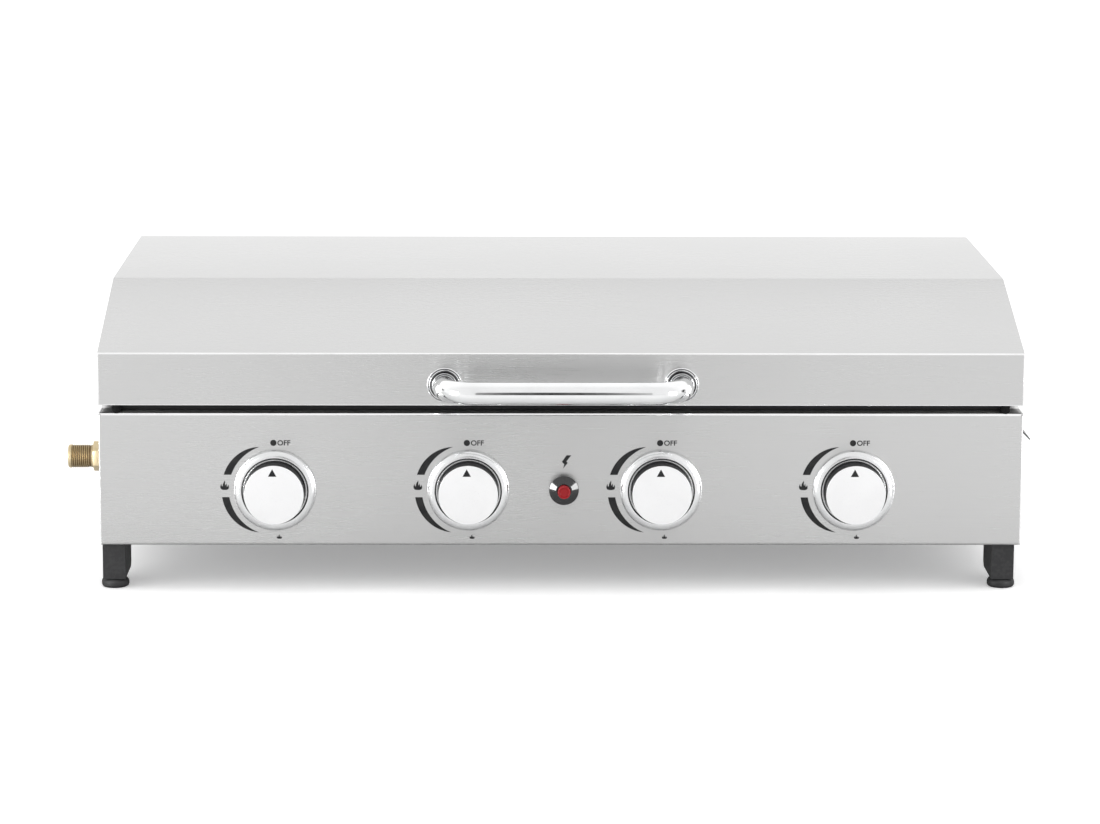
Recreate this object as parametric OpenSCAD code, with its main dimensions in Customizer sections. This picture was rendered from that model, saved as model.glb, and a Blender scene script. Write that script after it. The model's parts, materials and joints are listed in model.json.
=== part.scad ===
// Tabletop gas plancha griddle with a hinged lid, four burners and a side grease tray.
// Units are millimetres. X runs along the width, Y from the front to the back, Z up.
// The origin lies on the ground under the middle of the whole outline.

/* [Body] */
// Width of the sheet steel body and of the lid
body_width = 720; // [600:10:900]
// Depth of the body from the front panel to the rear panel
body_depth = 400; // [380:5:480]
// Height of the front panel
body_height = 105.3; // [98:0.5:130]
// Height from the ground to the underside of the body
foot_height = 36.2; // [34:1:60]
// Thickness of the body and lid sheet
sheet = 1.5; // [1:0.1:2]
// Width of the folded flanges along the top of the body
top_flange = 20; // [18:1:24]
// Width of the folded flanges along the bottom of the body
bottom_flange = 22; // [20:1:30]

/* [Lid] */
// Gap between the body and the closed lid
lid_gap = 5.6; // [5:0.5:10]
// Height of the upright front lip of the lid
lip_height = 41.2; // [36:1:50]
// Full height of the lid from its lower edge to its flat top
lid_height = 79.8; // [70:1:110]
// Depth taken by the sloped facet behind the front lip
slope_run = 138.5; // [100:0.5:180]
// Clear distance from the back of the lid to the back of the body
lid_setback = 12; // [11:0.5:16]

/* [Handle] */
// Diameter of the round handle bar
handle_diameter = 17.7; // [12:0.5:20]
// Distance between the two handle posts
handle_span = 184; // [150:1:260]
// Distance from the lid to the middle of the handle bar
handle_standoff = 41.5; // [36:1:55]
// Radius of the bends of the handle bar
handle_bend = 25; // [20:1:28]
// Height of the handle above the lower edge of the lid
handle_rise = 16.8; // [14:0.5:22]
// Diameter of the stepped washers under the handle posts
rosette_diameter = 27.3; // [22:0.5:34]

/* [Controls] */
// Distance between neighbouring knobs
knob_pitch = 150.5; // [130:0.5:155]
// Sideways shift of the whole row of controls from the middle of the panel
row_shift = 2.7; // [-6:0.1:6]
// Depth of the row of controls below the top of the front panel
row_drop = 61.2; // [58:0.5:64]
// Diameter of a knob
knob_diameter = 47; // [40:0.2:52]
// Distance from the panel to the front of a knob at rest
knob_reach = 21; // [18:0.5:26]
// Distance a knob is pushed in before it is turned
knob_travel = 3; // [2:0.5:3]
// Width of the chrome ring around a knob
bezel_width = 8.4; // [5:0.2:9]
// Height of the chrome ring in front of the panel
bezel_height = 6; // [3:0.5:7]
// Diameter of the conical ring around the ignition button
igniter_diameter = 23.2; // [20:0.5:28]
// Diameter of the ignition button
button_diameter = 10; // [8:0.5:11]
// Travel of the ignition button
button_travel = 4; // [2:0.5:4.5]

/* [Gas train] */
// Outer diameter of the threaded gas inlet
inlet_diameter = 18.8; // [16:0.2:21]
// Length of the threaded gas inlet
inlet_length = 18; // [14:0.5:24]
// Width across the flats of the inlet hexagon
inlet_flats = 21; // [20:0.1:26]
// Diameter of the gas manifold pipe
pipe_diameter = 16; // [14:0.5:18]
// Depth of the manifold pipe and of the inlet below the top of the body
pipe_drop = 40.9; // [38:0.1:41]
// Diameter of a burner tube
burner_diameter = 28; // [24:1:30]
// Number of flame port pairs along one burner
port_count = 14; // [6:1:20]

/* [Plate and tray] */
// Depth of the cooking surface below the top of the body
plate_drop = 9.5; // [8:0.5:11]
// Thickness of the griddle plate floor
plate_floor = 5; // [4:0.5:6]
// Height of the griddle plate rim above the body
plate_rim = 10; // [6:0.5:14]
// Diameter of the grease drain hole
drain_diameter = 30; // [20:1:36]
// Inner length of the grease tray from front to back
tray_length = 260; // [200:5:300]
// Height of the grease tray
tray_height = 22.5; // [18:0.5:24]
// Reach of the bent finger lip of the tray
tray_lip = 9.7; // [8:0.1:16]

/* [Hidden] */
$fn = 64;
fit = 0.05;
seat = 0.1;
slack = 0.3;
cut = 1;
half = body_width / 2;
body_bottom = foot_height;
body_top = body_bottom + body_height;
lid_bottom = body_top + lid_gap;
lid_top = lid_bottom + lid_height;
lid_back = body_depth - lid_setback;
lip_top = lid_bottom + lip_height;
slope_angle = atan((lid_height - lip_height) / slope_run);
pan_bottom = body_bottom + sheet;
pan_top = pan_bottom + sheet;
fold_radius = 2.5;
vent_count = 9;
vent_pitch = 66;
vent_length = 44;
vent_width = 5;
pan_vents = [0.35, 0.65];

// hinge
knuckle_radius = 5;
pin_radius = 2.5;
hinge_gap = 0.6;
hinge_rise = 12.5;
hinge_inset = 110;
hinge_x = half - hinge_inset;
hinge_y = lid_back + knuckle_radius + hinge_gap;
hinge_z = body_top + hinge_rise;
lid_rear_edge = hinge_z - 2;
leaf_knuckle = 9.4;
arm_knuckle = 10;
knuckle_step = leaf_knuckle / 2 + slack;
bracket_plate = 2;
bracket_web = 4;
leaf_plate = 3;
leaf_height = 46;
leaf_width = 28;
leaf_rise = knuckle_radius + 1;
pin_tail = 1;
pin_head = 2;
pin_head_radius = pin_radius + 1.5;

// rubber bumpers between the body and the closed lid
bumper_radius = 3.6;
bumper_stud = 2;
bumper_x = half - 14;
bumper_y = bumper_radius + slack;

// legs, pads and leg screws
pad_height = 7.5;
pad_radius = 10.9;
pad_round = 2.5;
pad_stud = 3;
leg_x = half - 11.2;
leg_shift = -1.4;
leg_front = 7;
leg_width = 17.7;
leg_depth = 50;
leg_wall = 2;
leg_chamfer = 4;
leg_screws_y = [leg_front + 27, leg_front + 42];
pad_y = leg_front + 10;
screw_radius = 2;
screw_head = 3.6;
screw_head_height = 2.2;

// controls
row_z = body_top - row_drop;
knob_x = [for (i = [-1.5:1:1.5]) row_shift + i * knob_pitch];
knob_radius = knob_diameter / 2;
knob_rear = knob_travel + 1.2;
knob_wall = 3;
knob_hub = 8;
knob_edge = 0.25;
face_thickness = 1.2;
face_radius = knob_radius - 0.4;
face_fit = 0.02;
stem_radius = 4;
stem_flat = 3;
stem_reach = knob_reach - 6;
bezel_inner = knob_radius + 0.35;
bezel_outer = bezel_inner + bezel_width;
bezel_bead = 1.7;
bezel_bead_top = bezel_height - 1.4;
bezel_groove = bezel_height - 2;
stem_hole = 7;
igniter_x = row_shift - 0.7;
igniter_z = row_z + 0.7;
igniter_height = 9;
igniter_radius = igniter_diameter / 2;
igniter_lip = 1.6;
igniter_skirt = 4;
igniter_edge = 0.6;
igniter_barrel = 8;
igniter_depth = 40;
button_radius = button_diameter / 2;
button_reach = 14.5;
button_length = 26;
button_chamber = 20;
button_edge = 1.5;
button_crown = 0.3;

// gas train
pipe_radius = pipe_diameter / 2;
pipe_y = 34;
pipe_z = body_top - pipe_drop;
pipe_wall = 1.5;
pipe_end = knob_x[3] + 22;
pipe_tab_width = 16;
pipe_tab_sheet = 2;
hex_out = 7.4;
inlet_step = 1.6;
inlet_reach = half + hex_out + inlet_step + inlet_length;
inlet_bore = 5;
spigot_radius = pipe_radius - pipe_wall - 0.02;
spigot_length = 12;
collar_radius = pipe_radius;
valve_radius = 10;
valve_front = 8;
valve_back = 50;
plug_radius = 6.5;
plug_front = 12;
plug_back = 36;
nozzle_radius = 4.5;
nozzle_back = 68;
jet_radius = 1.2;
jet_length = 3;
port_radius = 2.2;
plug_port_y = pipe_y - 1;
plug_bore_front = pipe_y - 4;
boss_radius = 6;
burner_radius = burner_diameter / 2;
burner_wall = 1;
burner_front = 62;
burner_end = 2;
burner_back = body_depth - 26;
burner_stud = 3;
stud_tail = 6;
port_hole = 1.2;
port_rise = 0.55;
port_first = burner_front + 60;
port_last = burner_back - 20;
window_front = burner_front + 8;
window_back = burner_front + 24;
window_height = 10;
rail_y = body_depth - 22;
rail_height = 60;
rail_foot = 12;
rail_half = knob_x[3] + 20;
electrode_x = knob_x[1] + 24;
electrode_z = row_z + 6;
electrode_radius = 3.5;
electrode_collar = 5;
electrode_collar_length = 4;
electrode_tip = 1;
electrode_tip_length = 20;
electrode_front = rail_y - 40;
electrode_neck = rail_y - electrode_front - electrode_collar_length;
electrode_length = 52;

// plate and tray
plate_side = half - 13;
plate_front = 13;
plate_back = lid_back - 2.5;
plate_flange = 3;
plate_inset = 8.5;
plate_wall = 4;
plate_floor_top = body_top - plate_drop;
plate_floor_bottom = plate_floor_top - plate_floor;
drain_x = half - 55;
drain_y = 100;
gutter_depth = 1.5;
gutter_width = 46;
tray_front = 40;
tray_back = tray_front + tray_length;
tray_width = 96;
tray_inner_x = half - tray_width;
tray_sheet = 1;
tray_face = half + 0.4;
tray_face_top = body_top - 17.7;
tray_top = tray_face_top - 4.3;
tray_bottom = tray_top - tray_height;
tray_overlap = 4;
slot_gap = 1;
tray_reach = tray_face + tray_sheet + tray_lip;
carrier_inset = 6;
ledge = 10;

// handle
handle_shift = row_shift - 1.6;
handle_x = [handle_shift - handle_span / 2, handle_shift + handle_span / 2];
handle_z = lid_bottom + handle_rise;
handle_radius = handle_diameter / 2;
handle_screw = 3;
handle_bore = 18;
handle_nut = 5;
handle_nut_height = 3;
rosette_height = 3;
rosette_step = 4;
rosette_edge = 1;

// the whole outline is centred on the origin
front_reach = handle_standoff + handle_diameter / 2;
shift_x = (inlet_reach - tray_reach) / 2;
shift_y = (front_reach - body_depth) / 2;

// Moves the grill from its front plane to the common origin.
module place() {
  translate([shift_x, shift_y, 0]) children();
}

// A box given by its lower and upper corners.
module block(low, high) {
  translate(low) cube(high - low);
}

// Draws a child that stands on the XY plane along the Y axis instead, pointing backwards.
module along_y(x, y, z) {
  translate([x, y, z]) rotate([-90, 0, 0]) children();
}

// Cylinder along Y from the front position to the back position.
module bar_y(x, z, front, back, radius) {
  along_y(x, front, z) cylinder(h = back - front, r = radius);
}

// Cylinder along X from the left position to the right position.
module bar_x(left, right, y, z, radius) {
  translate([left, y, z]) rotate([0, 90, 0]) cylinder(h = right - left, r = radius);
}

// Extrudes a profile drawn as depth and height along the width.
module across(left, right) {
  translate([left, 0, 0]) rotate([90, 0, 90]) linear_extrude(height = right - left) children();
}

// Section of a folded edge strip, with the web on the left and a rounded outer fold.
module fold_section(flange, thick) {
  difference() {
    union() {
      translate([fold_radius, 0]) square([flange - fold_radius, fold_radius]);
      circle_corner(fold_radius);
      translate([0, fold_radius]) square([thick, fold_radius]);
    }
    translate([fold_radius, thick]) square([flange, fold_radius]);
    translate([thick, thick]) circle_corner(fold_radius - thick);
  }
}

// Quarter disc that fills the corner of the first quadrant.
module circle_corner(radius) {
  intersection() {
    translate([radius, radius]) circle(radius);
    square(radius);
  }
}

// Upright panel with folded flanges at the top and the bottom, drawn at the front plane.
module folded_panel(high_flange) {
  inner = half - sheet - slack;
  block([-half, 0, body_bottom + fold_radius], [half, sheet, body_top - fold_radius]);
  across(-inner, inner) {
    translate([0, body_bottom]) fold_section(bottom_flange, sheet);
    translate([0, body_top]) mirror([0, 1]) fold_section(high_flange, sheet);
  }
}

module front_panel() {
  color("silver") place() difference() {
    folded_panel(top_flange);
    for (x = knob_x) bar_y(x, row_z, -cut, sheet + cut, stem_hole);
    bar_y(igniter_x, igniter_z, -cut, sheet + cut, igniter_barrel + seat);
    for (side = [-1, 1])
      translate([side * bumper_x, bumper_y, body_top - sheet - cut])
        cylinder(h = sheet + 2 * cut, r = bumper_stud + seat);
  }
}

module rear_panel() {
  color("silver") place() translate([0, body_depth, 0]) mirror([0, 1, 0]) difference() {
    folded_panel(top_flange + 2);
    for (i = [0:vent_count - 1])
      translate([(i - (vent_count - 1) / 2) * vent_pitch, sheet / 2, body_bottom + body_height / 2])
        cube([vent_length, sheet + 2 * cut, vent_width], center = true);
  }
}

// Side panel of the body at the left, with its flanges turned inwards.
module side_panel() {
  flange_front = top_flange + slack;
  flange_back = body_depth - top_flange - 2 - slack;
  low_front = bottom_flange + slack;
  low_back = body_depth - bottom_flange - slack;
  block([-half, sheet, body_bottom], [-half + sheet, body_depth - sheet, body_top]);
  block([-half, flange_front, body_top - sheet], [-half + top_flange, flange_back, body_top]);
  block([-half, low_front, body_bottom], [-half + bottom_flange, low_back, pan_bottom]);
}

module left_side_panel() {
  color("silver") place() difference() {
    side_panel();
    bar_x(-half - cut, -half + sheet + cut, pipe_y, pipe_z, collar_radius + seat);
    leg_screw_holes();
  }
}

module right_side_panel() {
  color("silver") place() difference() {
    mirror([1, 0, 0]) side_panel();
    block([half - sheet - cut, tray_front - slot_gap, tray_bottom - slot_gap],
          [half + cut, tray_back + slot_gap, tray_top + slot_gap]);
    leg_screw_holes();
  }
}

module base_pan() {
  side = half - sheet - slack;
  color("gray") place() difference() {
    block([-side, fold_radius + slack, pan_bottom], [side, body_depth - fold_radius - slack, pan_top]);
    for (i = [0:vent_count - 1])
      for (share = pan_vents)
        translate([(i - (vent_count - 1) / 2) * vent_pitch, body_depth * share, pan_bottom])
          cube([vent_length, vent_width * 2, 4 * sheet], center = true);
    leg_screw_holes();
  }
}

// Runs the children at every leg screw position.
module at_leg_screws() {
  for (x = [leg_shift - leg_x, leg_shift + leg_x])
    for (y = leg_screws_y)
      for (depth = [y, body_depth - y])
        translate([x, depth, 0]) children();
}

module leg_screw_holes() {
  at_leg_screws() translate([0, 0, body_bottom - leg_wall - cut])
    cylinder(h = leg_wall + 2 * sheet + 2 * cut, r = screw_radius + seat);
}

module leg_screws() {
  color("dimgray") place() at_leg_screws() {
    translate([0, 0, body_bottom - leg_wall - screw_head_height])
      cylinder(h = screw_head_height, r = screw_head);
    translate([0, 0, body_bottom - leg_wall - cut])
      cylinder(h = leg_wall + 2 * sheet + 2 * cut, r = screw_radius);
  }
}

// Folded leg, open at the back, with a plate for its pad, drawn at the front left.
module leg() {
  inner = leg_width - 2 * leg_wall;
  back = leg_front + leg_depth;
  translate([-leg_x, 0, 0]) difference() {
    across(-leg_width / 2, leg_width / 2) polygon([
      [leg_front, pad_height], [back - leg_chamfer, pad_height],
      [back, pad_height + leg_chamfer], [back, body_bottom], [leg_front, body_bottom]]);
    block([-inner / 2, leg_front + leg_wall, pad_height + leg_wall],
          [inner / 2, back + cut, body_bottom - leg_wall]);
    translate([0, pad_y, pad_height - cut]) cylinder(h = leg_wall + 2 * cut, r = pad_stud + seat);
  }
}

// Rounded pad with a stud that is pressed into the leg, drawn at the front left.
module foot_pad() {
  flat = pad_radius - pad_round;
  translate([-leg_x, pad_y, 0]) rotate_extrude() union() {
    square([flat, pad_height]);
    translate([0, pad_round]) square([pad_radius, pad_height - 2 * pad_round]);
    for (z = [pad_round, pad_height - pad_round]) translate([flat, z]) circle(pad_round);
    square([pad_stud, pad_height + 2 * leg_wall]);
  }
}

// Moves a child from the front left corner to the wanted corner.
module corner(right, rear) {
  translate([leg_shift, rear ? body_depth : 0, 0])
    mirror([0, rear ? 1 : 0, 0]) mirror([right ? 1 : 0, 0, 0]) children();
}

module leg_front_left() { color("dimgray") place() cut_leg(false, false); }
module leg_front_right() { color("dimgray") place() cut_leg(true, false); }
module leg_rear_left() { color("dimgray") place() cut_leg(false, true); }
module leg_rear_right() { color("dimgray") place() cut_leg(true, true); }

// Leg at one corner with its screw holes drilled.
module cut_leg(right, rear) {
  difference() {
    corner(right, rear) leg();
    leg_screw_holes();
  }
}

module foot_pad_front_left() { color("black") place() corner(false, false) foot_pad(); }
module foot_pad_front_right() { color("black") place() corner(true, false) foot_pad(); }
module foot_pad_rear_left() { color("black") place() corner(false, true) foot_pad(); }
module foot_pad_rear_right() { color("black") place() corner(true, true) foot_pad(); }

// Chrome ring around one knob, with a half round crown, a groove and a small inner bead.
module knob_bezel(index) {
  crown = (bezel_width - bezel_bead) / 2;
  bead = bezel_bead / 2;
  place() translate([knob_x[index], 0, row_z]) rotate([90, 0, 0]) rotate_extrude() intersection() {
    translate([bezel_inner, 0]) square([bezel_width, bezel_height]);
    union() {
      translate([bezel_inner, 0]) square([bezel_bead, bezel_bead_top - bead]);
      translate([bezel_inner + bead, bezel_bead_top - bead]) circle(bead);
      translate([bezel_inner + bead, 0]) square([bead + crown, bezel_groove]);
      translate([bezel_outer - crown, 0]) square([crown, bezel_height - crown]);
      translate([bezel_outer - crown, bezel_height - crown]) circle(crown);
    }
  }
}

module knob_bezel_1() { color("lightgray") knob_bezel(0); }
module knob_bezel_2() { color("lightgray") knob_bezel(1); }
module knob_bezel_3() { color("lightgray") knob_bezel(2); }
module knob_bezel_4() { color("lightgray") knob_bezel(3); }

// Manifold pipe above the valves, with two welded tabs that reach the front panel.
module manifold_pipe() {
  left = -half + sheet + spigot_length;
  tab = pipe_tab_width / 2;
  web = pipe_tab_sheet / 2;
  color("goldenrod") place() difference() {
    union() {
      bar_x(left, pipe_end, pipe_y, pipe_z, pipe_radius);
      for (x = [row_shift - knob_pitch, row_shift + knob_pitch])
        block([x - tab, sheet, pipe_z - web], [x + tab, pipe_y, pipe_z + web]);
    }
    bar_x(left - cut, pipe_end - pipe_wall, pipe_y, pipe_z, pipe_radius - pipe_wall);
    for (x = knob_x)
      translate([x, pipe_y, pipe_z - pipe_radius - cut]) cylinder(h = pipe_radius, r = port_radius);
  }
}

// Brass inlet with a hexagon outside the wall and a spigot inside the manifold pipe.
module inlet_fitting() {
  wall_in = -half + sheet + spigot_length;
  hex_face = -half - hex_out;
  color("goldenrod") place() difference() {
    union() {
      bar_x(-half, wall_in, pipe_y, pipe_z, collar_radius);
      bar_x(wall_in - cut, wall_in + spigot_length, pipe_y, pipe_z, spigot_radius);
      translate([hex_face, pipe_y, pipe_z]) rotate([0, 90, 0]) rotate([0, 0, 30])
        linear_extrude(height = hex_out) circle(r = inlet_flats / sqrt(3), $fn = 6);
      bar_x(hex_face - inlet_step, hex_face + cut, pipe_y, pipe_z, inlet_diameter / 2 - 1);
      bar_x(-inlet_reach, hex_face - inlet_step, pipe_y, pipe_z, inlet_diameter / 2);
    }
    bar_x(-inlet_reach - cut, wall_in + spigot_length + cut, pipe_y, pipe_z, inlet_bore);
  }
}

// Bored tap body with a saddle boss up to the manifold and a jet towards the burner.
module gas_valve(index) {
  x = knob_x[index];
  place() difference() {
    union() {
      bar_y(x, row_z, valve_front, valve_back, valve_radius);
      bar_y(x, row_z, valve_back - cut, nozzle_back, nozzle_radius);
      translate([x, pipe_y, row_z]) cylinder(h = pipe_z - row_z, r = boss_radius);
    }
    bar_x(x - 2 * boss_radius, x + 2 * boss_radius, pipe_y, pipe_z, pipe_radius + 0.02);
    bar_y(x, row_z, valve_front - cut, plug_back + seat, plug_radius + fit);
    bar_y(x, row_z, plug_back, nozzle_back - jet_length, port_radius);
    bar_y(x, row_z, nozzle_back - jet_length - cut, nozzle_back + cut, jet_radius);
    translate([x, pipe_y, row_z]) cylinder(h = pipe_z - row_z, r = port_radius);
  }
}

module gas_valve_1() { color("darkgoldenrod") gas_valve(0); }
module gas_valve_2() { color("darkgoldenrod") gas_valve(1); }
module gas_valve_3() { color("darkgoldenrod") gas_valve(2); }
module gas_valve_4() { color("darkgoldenrod") gas_valve(3); }

// Section of the round stem with one flat, used for the stem and for the bore of the knob.
module stem_section(gap) {
  intersection() {
    circle(stem_radius + gap);
    translate([-2 * stem_radius, -2 * stem_radius])
      square([4 * stem_radius, 2 * stem_radius + stem_flat + gap]);
  }
}

// Turning plug of a tap with the stem that carries the knob.
module tap_plug(index) {
  x = knob_x[index];
  place() difference() {
    union() {
      bar_y(x, row_z, plug_front, plug_back, plug_radius);
      translate([x, plug_front, row_z]) rotate([90, 0, 0])
        linear_extrude(height = plug_front + stem_reach) stem_section(0);
    }
    bar_x(x, x + 2 * plug_radius, plug_port_y, row_z, port_radius / 2);
    bar_y(x, row_z, plug_bore_front, plug_back + cut, port_radius);
  }
}

module tap_plug_1() { color("gold") tap_plug(0); }
module tap_plug_2() { color("gold") tap_plug(1); }
module tap_plug_3() { color("gold") tap_plug(2); }
module tap_plug_4() { color("gold") tap_plug(3); }

// Hollow knob with a hub on the stem and a recess for its face disc.
module knob(index) {
  web = knob_reach - face_thickness;
  place() translate([knob_x[index], 0, row_z]) rotate([90, 0, 0]) difference() {
    rotate_extrude() polygon([
      [0, knob_rear], [knob_hub, knob_rear], [knob_hub, web - knob_wall],
      [knob_radius - knob_wall, web - knob_wall], [knob_radius - knob_wall, knob_rear],
      [knob_radius, knob_rear], [knob_radius, knob_reach - knob_edge],
      [knob_radius - knob_edge, knob_reach], [face_radius, knob_reach], [face_radius, web], [0, web]]);
    translate([0, 0, knob_rear - cut])
      linear_extrude(height = stem_reach + knob_travel + slack - knob_rear + cut) stem_section(fit);
  }
}

module knob_1() { color("black") knob(0); }
module knob_2() { color("black") knob(1); }
module knob_3() { color("black") knob(2); }
module knob_4() { color("black") knob(3); }

// Satin disc bonded into the front of a knob.
module knob_face(index) {
  place() translate([knob_x[index], 0, row_z]) rotate([90, 0, 0])
    translate([0, 0, knob_reach - face_thickness])
      cylinder(h = face_thickness, r = face_radius - face_fit);
}

module knob_face_1() { color("white") knob_face(0); }
module knob_face_2() { color("white") knob_face(1); }
module knob_face_3() { color("white") knob_face(2); }
module knob_face_4() { color("white") knob_face(3); }

// Tube burner with rows of flame ports, an air window and a rear stud.
module burner(index) {
  x = knob_x[index];
  pitch = (port_last - port_first) / (port_count - 1);
  place() difference() {
    union() {
      bar_y(x, row_z, burner_front, burner_back, burner_radius);
      bar_y(x, row_z, burner_back - cut, rail_y + stud_tail, burner_stud);
    }
    bar_y(x, row_z, burner_front + burner_end, burner_back - burner_end, burner_radius - burner_wall);
    bar_y(x, row_z, burner_front - cut, burner_front + burner_end + cut, nozzle_radius + seat);
    block([x - burner_radius - cut, window_front, row_z - window_height / 2],
          [x + burner_radius + cut, window_back, row_z + window_height / 2]);
    for (i = [0:port_count - 1])
      bar_x(x - burner_radius - cut, x + burner_radius + cut, port_first + i * pitch,
            row_z + burner_radius * port_rise, port_hole);
  }
}

module burner_1() { color("lightsteelblue") burner(0); }
module burner_2() { color("lightsteelblue") burner(1); }
module burner_3() { color("lightsteelblue") burner(2); }
module burner_4() { color("lightsteelblue") burner(3); }

// Angle strip on the base pan that carries the rear ends of the burners.
module burner_rail() {
  left = 2 * row_shift - rail_half;
  color("gray") place() difference() {
    union() {
      block([left, rail_y - rail_foot, pan_top], [rail_half, rail_y + sheet, pan_top + sheet]);
      block([left, rail_y, pan_top], [rail_half, rail_y + sheet, pan_top + rail_height]);
    }
    for (x = knob_x) bar_y(x, row_z, rail_y - cut, rail_y + sheet + cut, burner_stud + seat);
    bar_y(electrode_x, electrode_z, rail_y - cut, rail_y + sheet + cut, electrode_radius + seat);
  }
}

// Ceramic rod through the rail with a collar and a long thin tip.
module spark_electrode() {
  seat_y = electrode_neck + electrode_collar_length;
  color("ivory") place() along_y(electrode_x, electrode_front, electrode_z) rotate_extrude() polygon([
    [0, 0], [electrode_tip, 0], [electrode_tip, electrode_tip_length],
    [electrode_radius, electrode_tip_length], [electrode_radius, electrode_neck],
    [electrode_collar, electrode_neck], [electrode_collar, seat_y], [electrode_radius, seat_y],
    [electrode_radius, electrode_length], [0, electrode_length]]);
}

// Conical ring and barrel of the ignition button in one moulding.
module igniter_bezel() {
  bore = button_radius + fit;
  skirt = igniter_height - igniter_skirt;
  color("black") place() along_y(igniter_x, -igniter_height, igniter_z) rotate_extrude() polygon([
    [bore, 0], [bore + igniter_lip, 0], [igniter_radius - igniter_edge, skirt - igniter_edge],
    [igniter_radius, skirt], [igniter_radius, igniter_height],
    [igniter_barrel, igniter_height], [igniter_barrel, igniter_height + igniter_depth],
    [0, igniter_height + igniter_depth], [0, igniter_height + button_chamber],
    [bore, igniter_height + button_chamber]]);
}

module igniter_button() {
  color("red") place() along_y(igniter_x, -button_reach, igniter_z) rotate_extrude() polygon([
    [0, 0], [button_radius - button_edge, button_crown],
    [button_radius, button_crown + button_edge], [button_radius, button_length], [0, button_length]]);
}

// U shaped carrier on the base pan with ledges under both edges of the tray.
module tray_carrier() {
  left = tray_inner_x + carrier_inset;
  right = half - 3 * carrier_inset;
  outer_front = tray_front - slack - sheet;
  outer_back = tray_back + slack + sheet;
  color("gray") place() union() {
    block([left, outer_front, pan_top], [right, outer_back, pan_top + sheet]);
    for (y = [outer_front, outer_back - sheet])
      block([left, y, pan_top], [right, y + sheet, tray_bottom - seat]);
    for (y = [outer_front, outer_back - ledge])
      block([left, y, tray_bottom - seat - sheet], [right, y + ledge, tray_bottom - seat]);
  }
}

// Drawer for the grease with a face plate outside the wall and a bent finger lip.
module grease_tray() {
  diagonal = tray_sheet * sqrt(2);
  plate_x = tray_face + tray_sheet;
  step = tray_sheet / sqrt(2);
  low = tray_bottom - tray_overlap;
  color("silver") place() union() {
    difference() {
      block([tray_inner_x, tray_front, tray_bottom], [tray_face + tray_sheet / 2, tray_back, tray_top]);
      block([tray_inner_x + tray_sheet, tray_front + tray_sheet, tray_bottom + tray_sheet],
            [tray_face + cut, tray_back - tray_sheet, tray_top + cut]);
    }
    translate([0, tray_back + tray_overlap, 0]) rotate([90, 0, 0])
      linear_extrude(height = tray_length + 2 * tray_overlap) polygon([
        [tray_face, low], [plate_x, low], [plate_x, tray_face_top - diagonal],
        [plate_x + tray_lip - step, tray_face_top - tray_lip - step],
        [plate_x + tray_lip, tray_face_top - tray_lip], [plate_x, tray_face_top],
        [tray_face, tray_face_top]]);
  }
}

// Enamelled tub that hangs by its rim on the body, with a gutter and a drain hole.
module griddle_plate() {
  tub_side = plate_side - plate_inset;
  tub_front = plate_front + plate_inset;
  tub_back = plate_back - plate_inset;
  inner_side = tub_side - plate_wall;
  color("black") place() difference() {
    union() {
      block([-plate_side, plate_front, body_top], [plate_side, plate_back, body_top + plate_flange]);
      block([-tub_side, tub_front, plate_floor_bottom], [tub_side, tub_back, body_top + plate_rim]);
    }
    block([-inner_side, tub_front + plate_wall, plate_floor_top],
          [inner_side, tub_back - plate_wall, body_top + plate_rim + cut]);
    block([inner_side - gutter_width, tub_front + plate_wall, plate_floor_top - gutter_depth],
          [inner_side, tub_back - plate_wall, plate_floor_top + cut]);
    translate([drain_x, drain_y, plate_floor_bottom - cut])
      cylinder(h = plate_floor + 2 * cut, r = drain_diameter / 2);
  }
}

// Bracket on the rear flange with two knuckles around the hinge pin.
module hinge_bracket(x) {
  span = knuckle_step + arm_knuckle;
  place() translate([x, 0, 0]) difference() {
    union() {
      block([-span, lid_back, body_top], [span, body_depth, body_top + bracket_plate]);
      for (left = [-span, knuckle_step]) {
        block([left, hinge_y - bracket_web / 2, body_top],
              [left + arm_knuckle, hinge_y + bracket_web / 2, hinge_z]);
        bar_x(left, left + arm_knuckle, hinge_y, hinge_z, knuckle_radius);
      }
    }
    bar_x(-span - cut, span + cut, hinge_y, hinge_z, pin_radius + fit);
  }
}

module hinge_bracket_left() { color("dimgray") hinge_bracket(-hinge_x); }
module hinge_bracket_right() { color("dimgray") hinge_bracket(hinge_x); }

module hinge_pins() {
  span = knuckle_step + arm_knuckle;
  color("lightgray") place() for (x = [-hinge_x, hinge_x]) {
    bar_x(x - span - pin_tail, x + span + cut, hinge_y, hinge_z, pin_radius);
    bar_x(x + span + seat, x + span + pin_head, hinge_y, hinge_z, pin_head_radius);
  }
}

// Leaf on the rear wall of the lid with the middle knuckle.
module hinge_leaf(x) {
  place() translate([x, 0, 0]) difference() {
    union() {
      block([-leaf_width / 2, lid_back, hinge_z + leaf_rise],
            [leaf_width / 2, lid_back + leaf_plate, hinge_z + leaf_height]);
      block([-leaf_knuckle / 2, lid_back, hinge_z],
            [leaf_knuckle / 2, lid_back + leaf_plate, hinge_z + leaf_height / 2]);
      bar_x(-leaf_knuckle / 2, leaf_knuckle / 2, hinge_y, hinge_z, knuckle_radius);
    }
    bar_x(-leaf_knuckle, leaf_knuckle, hinge_y, hinge_z, pin_radius + fit);
  }
}

module hinge_leaf_left() { color("dimgray") hinge_leaf(-hinge_x); }
module hinge_leaf_right() { color("dimgray") hinge_leaf(hinge_x); }

module lid_bumpers() {
  color("black") place() for (side = [-1, 1])
    translate([side * bumper_x, bumper_y, body_top]) {
      cylinder(h = lid_gap - seat, r = bumper_radius);
      translate([0, 0, -2 * sheet]) cylinder(h = 2 * sheet + cut, r = bumper_stud);
    }
}

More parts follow.
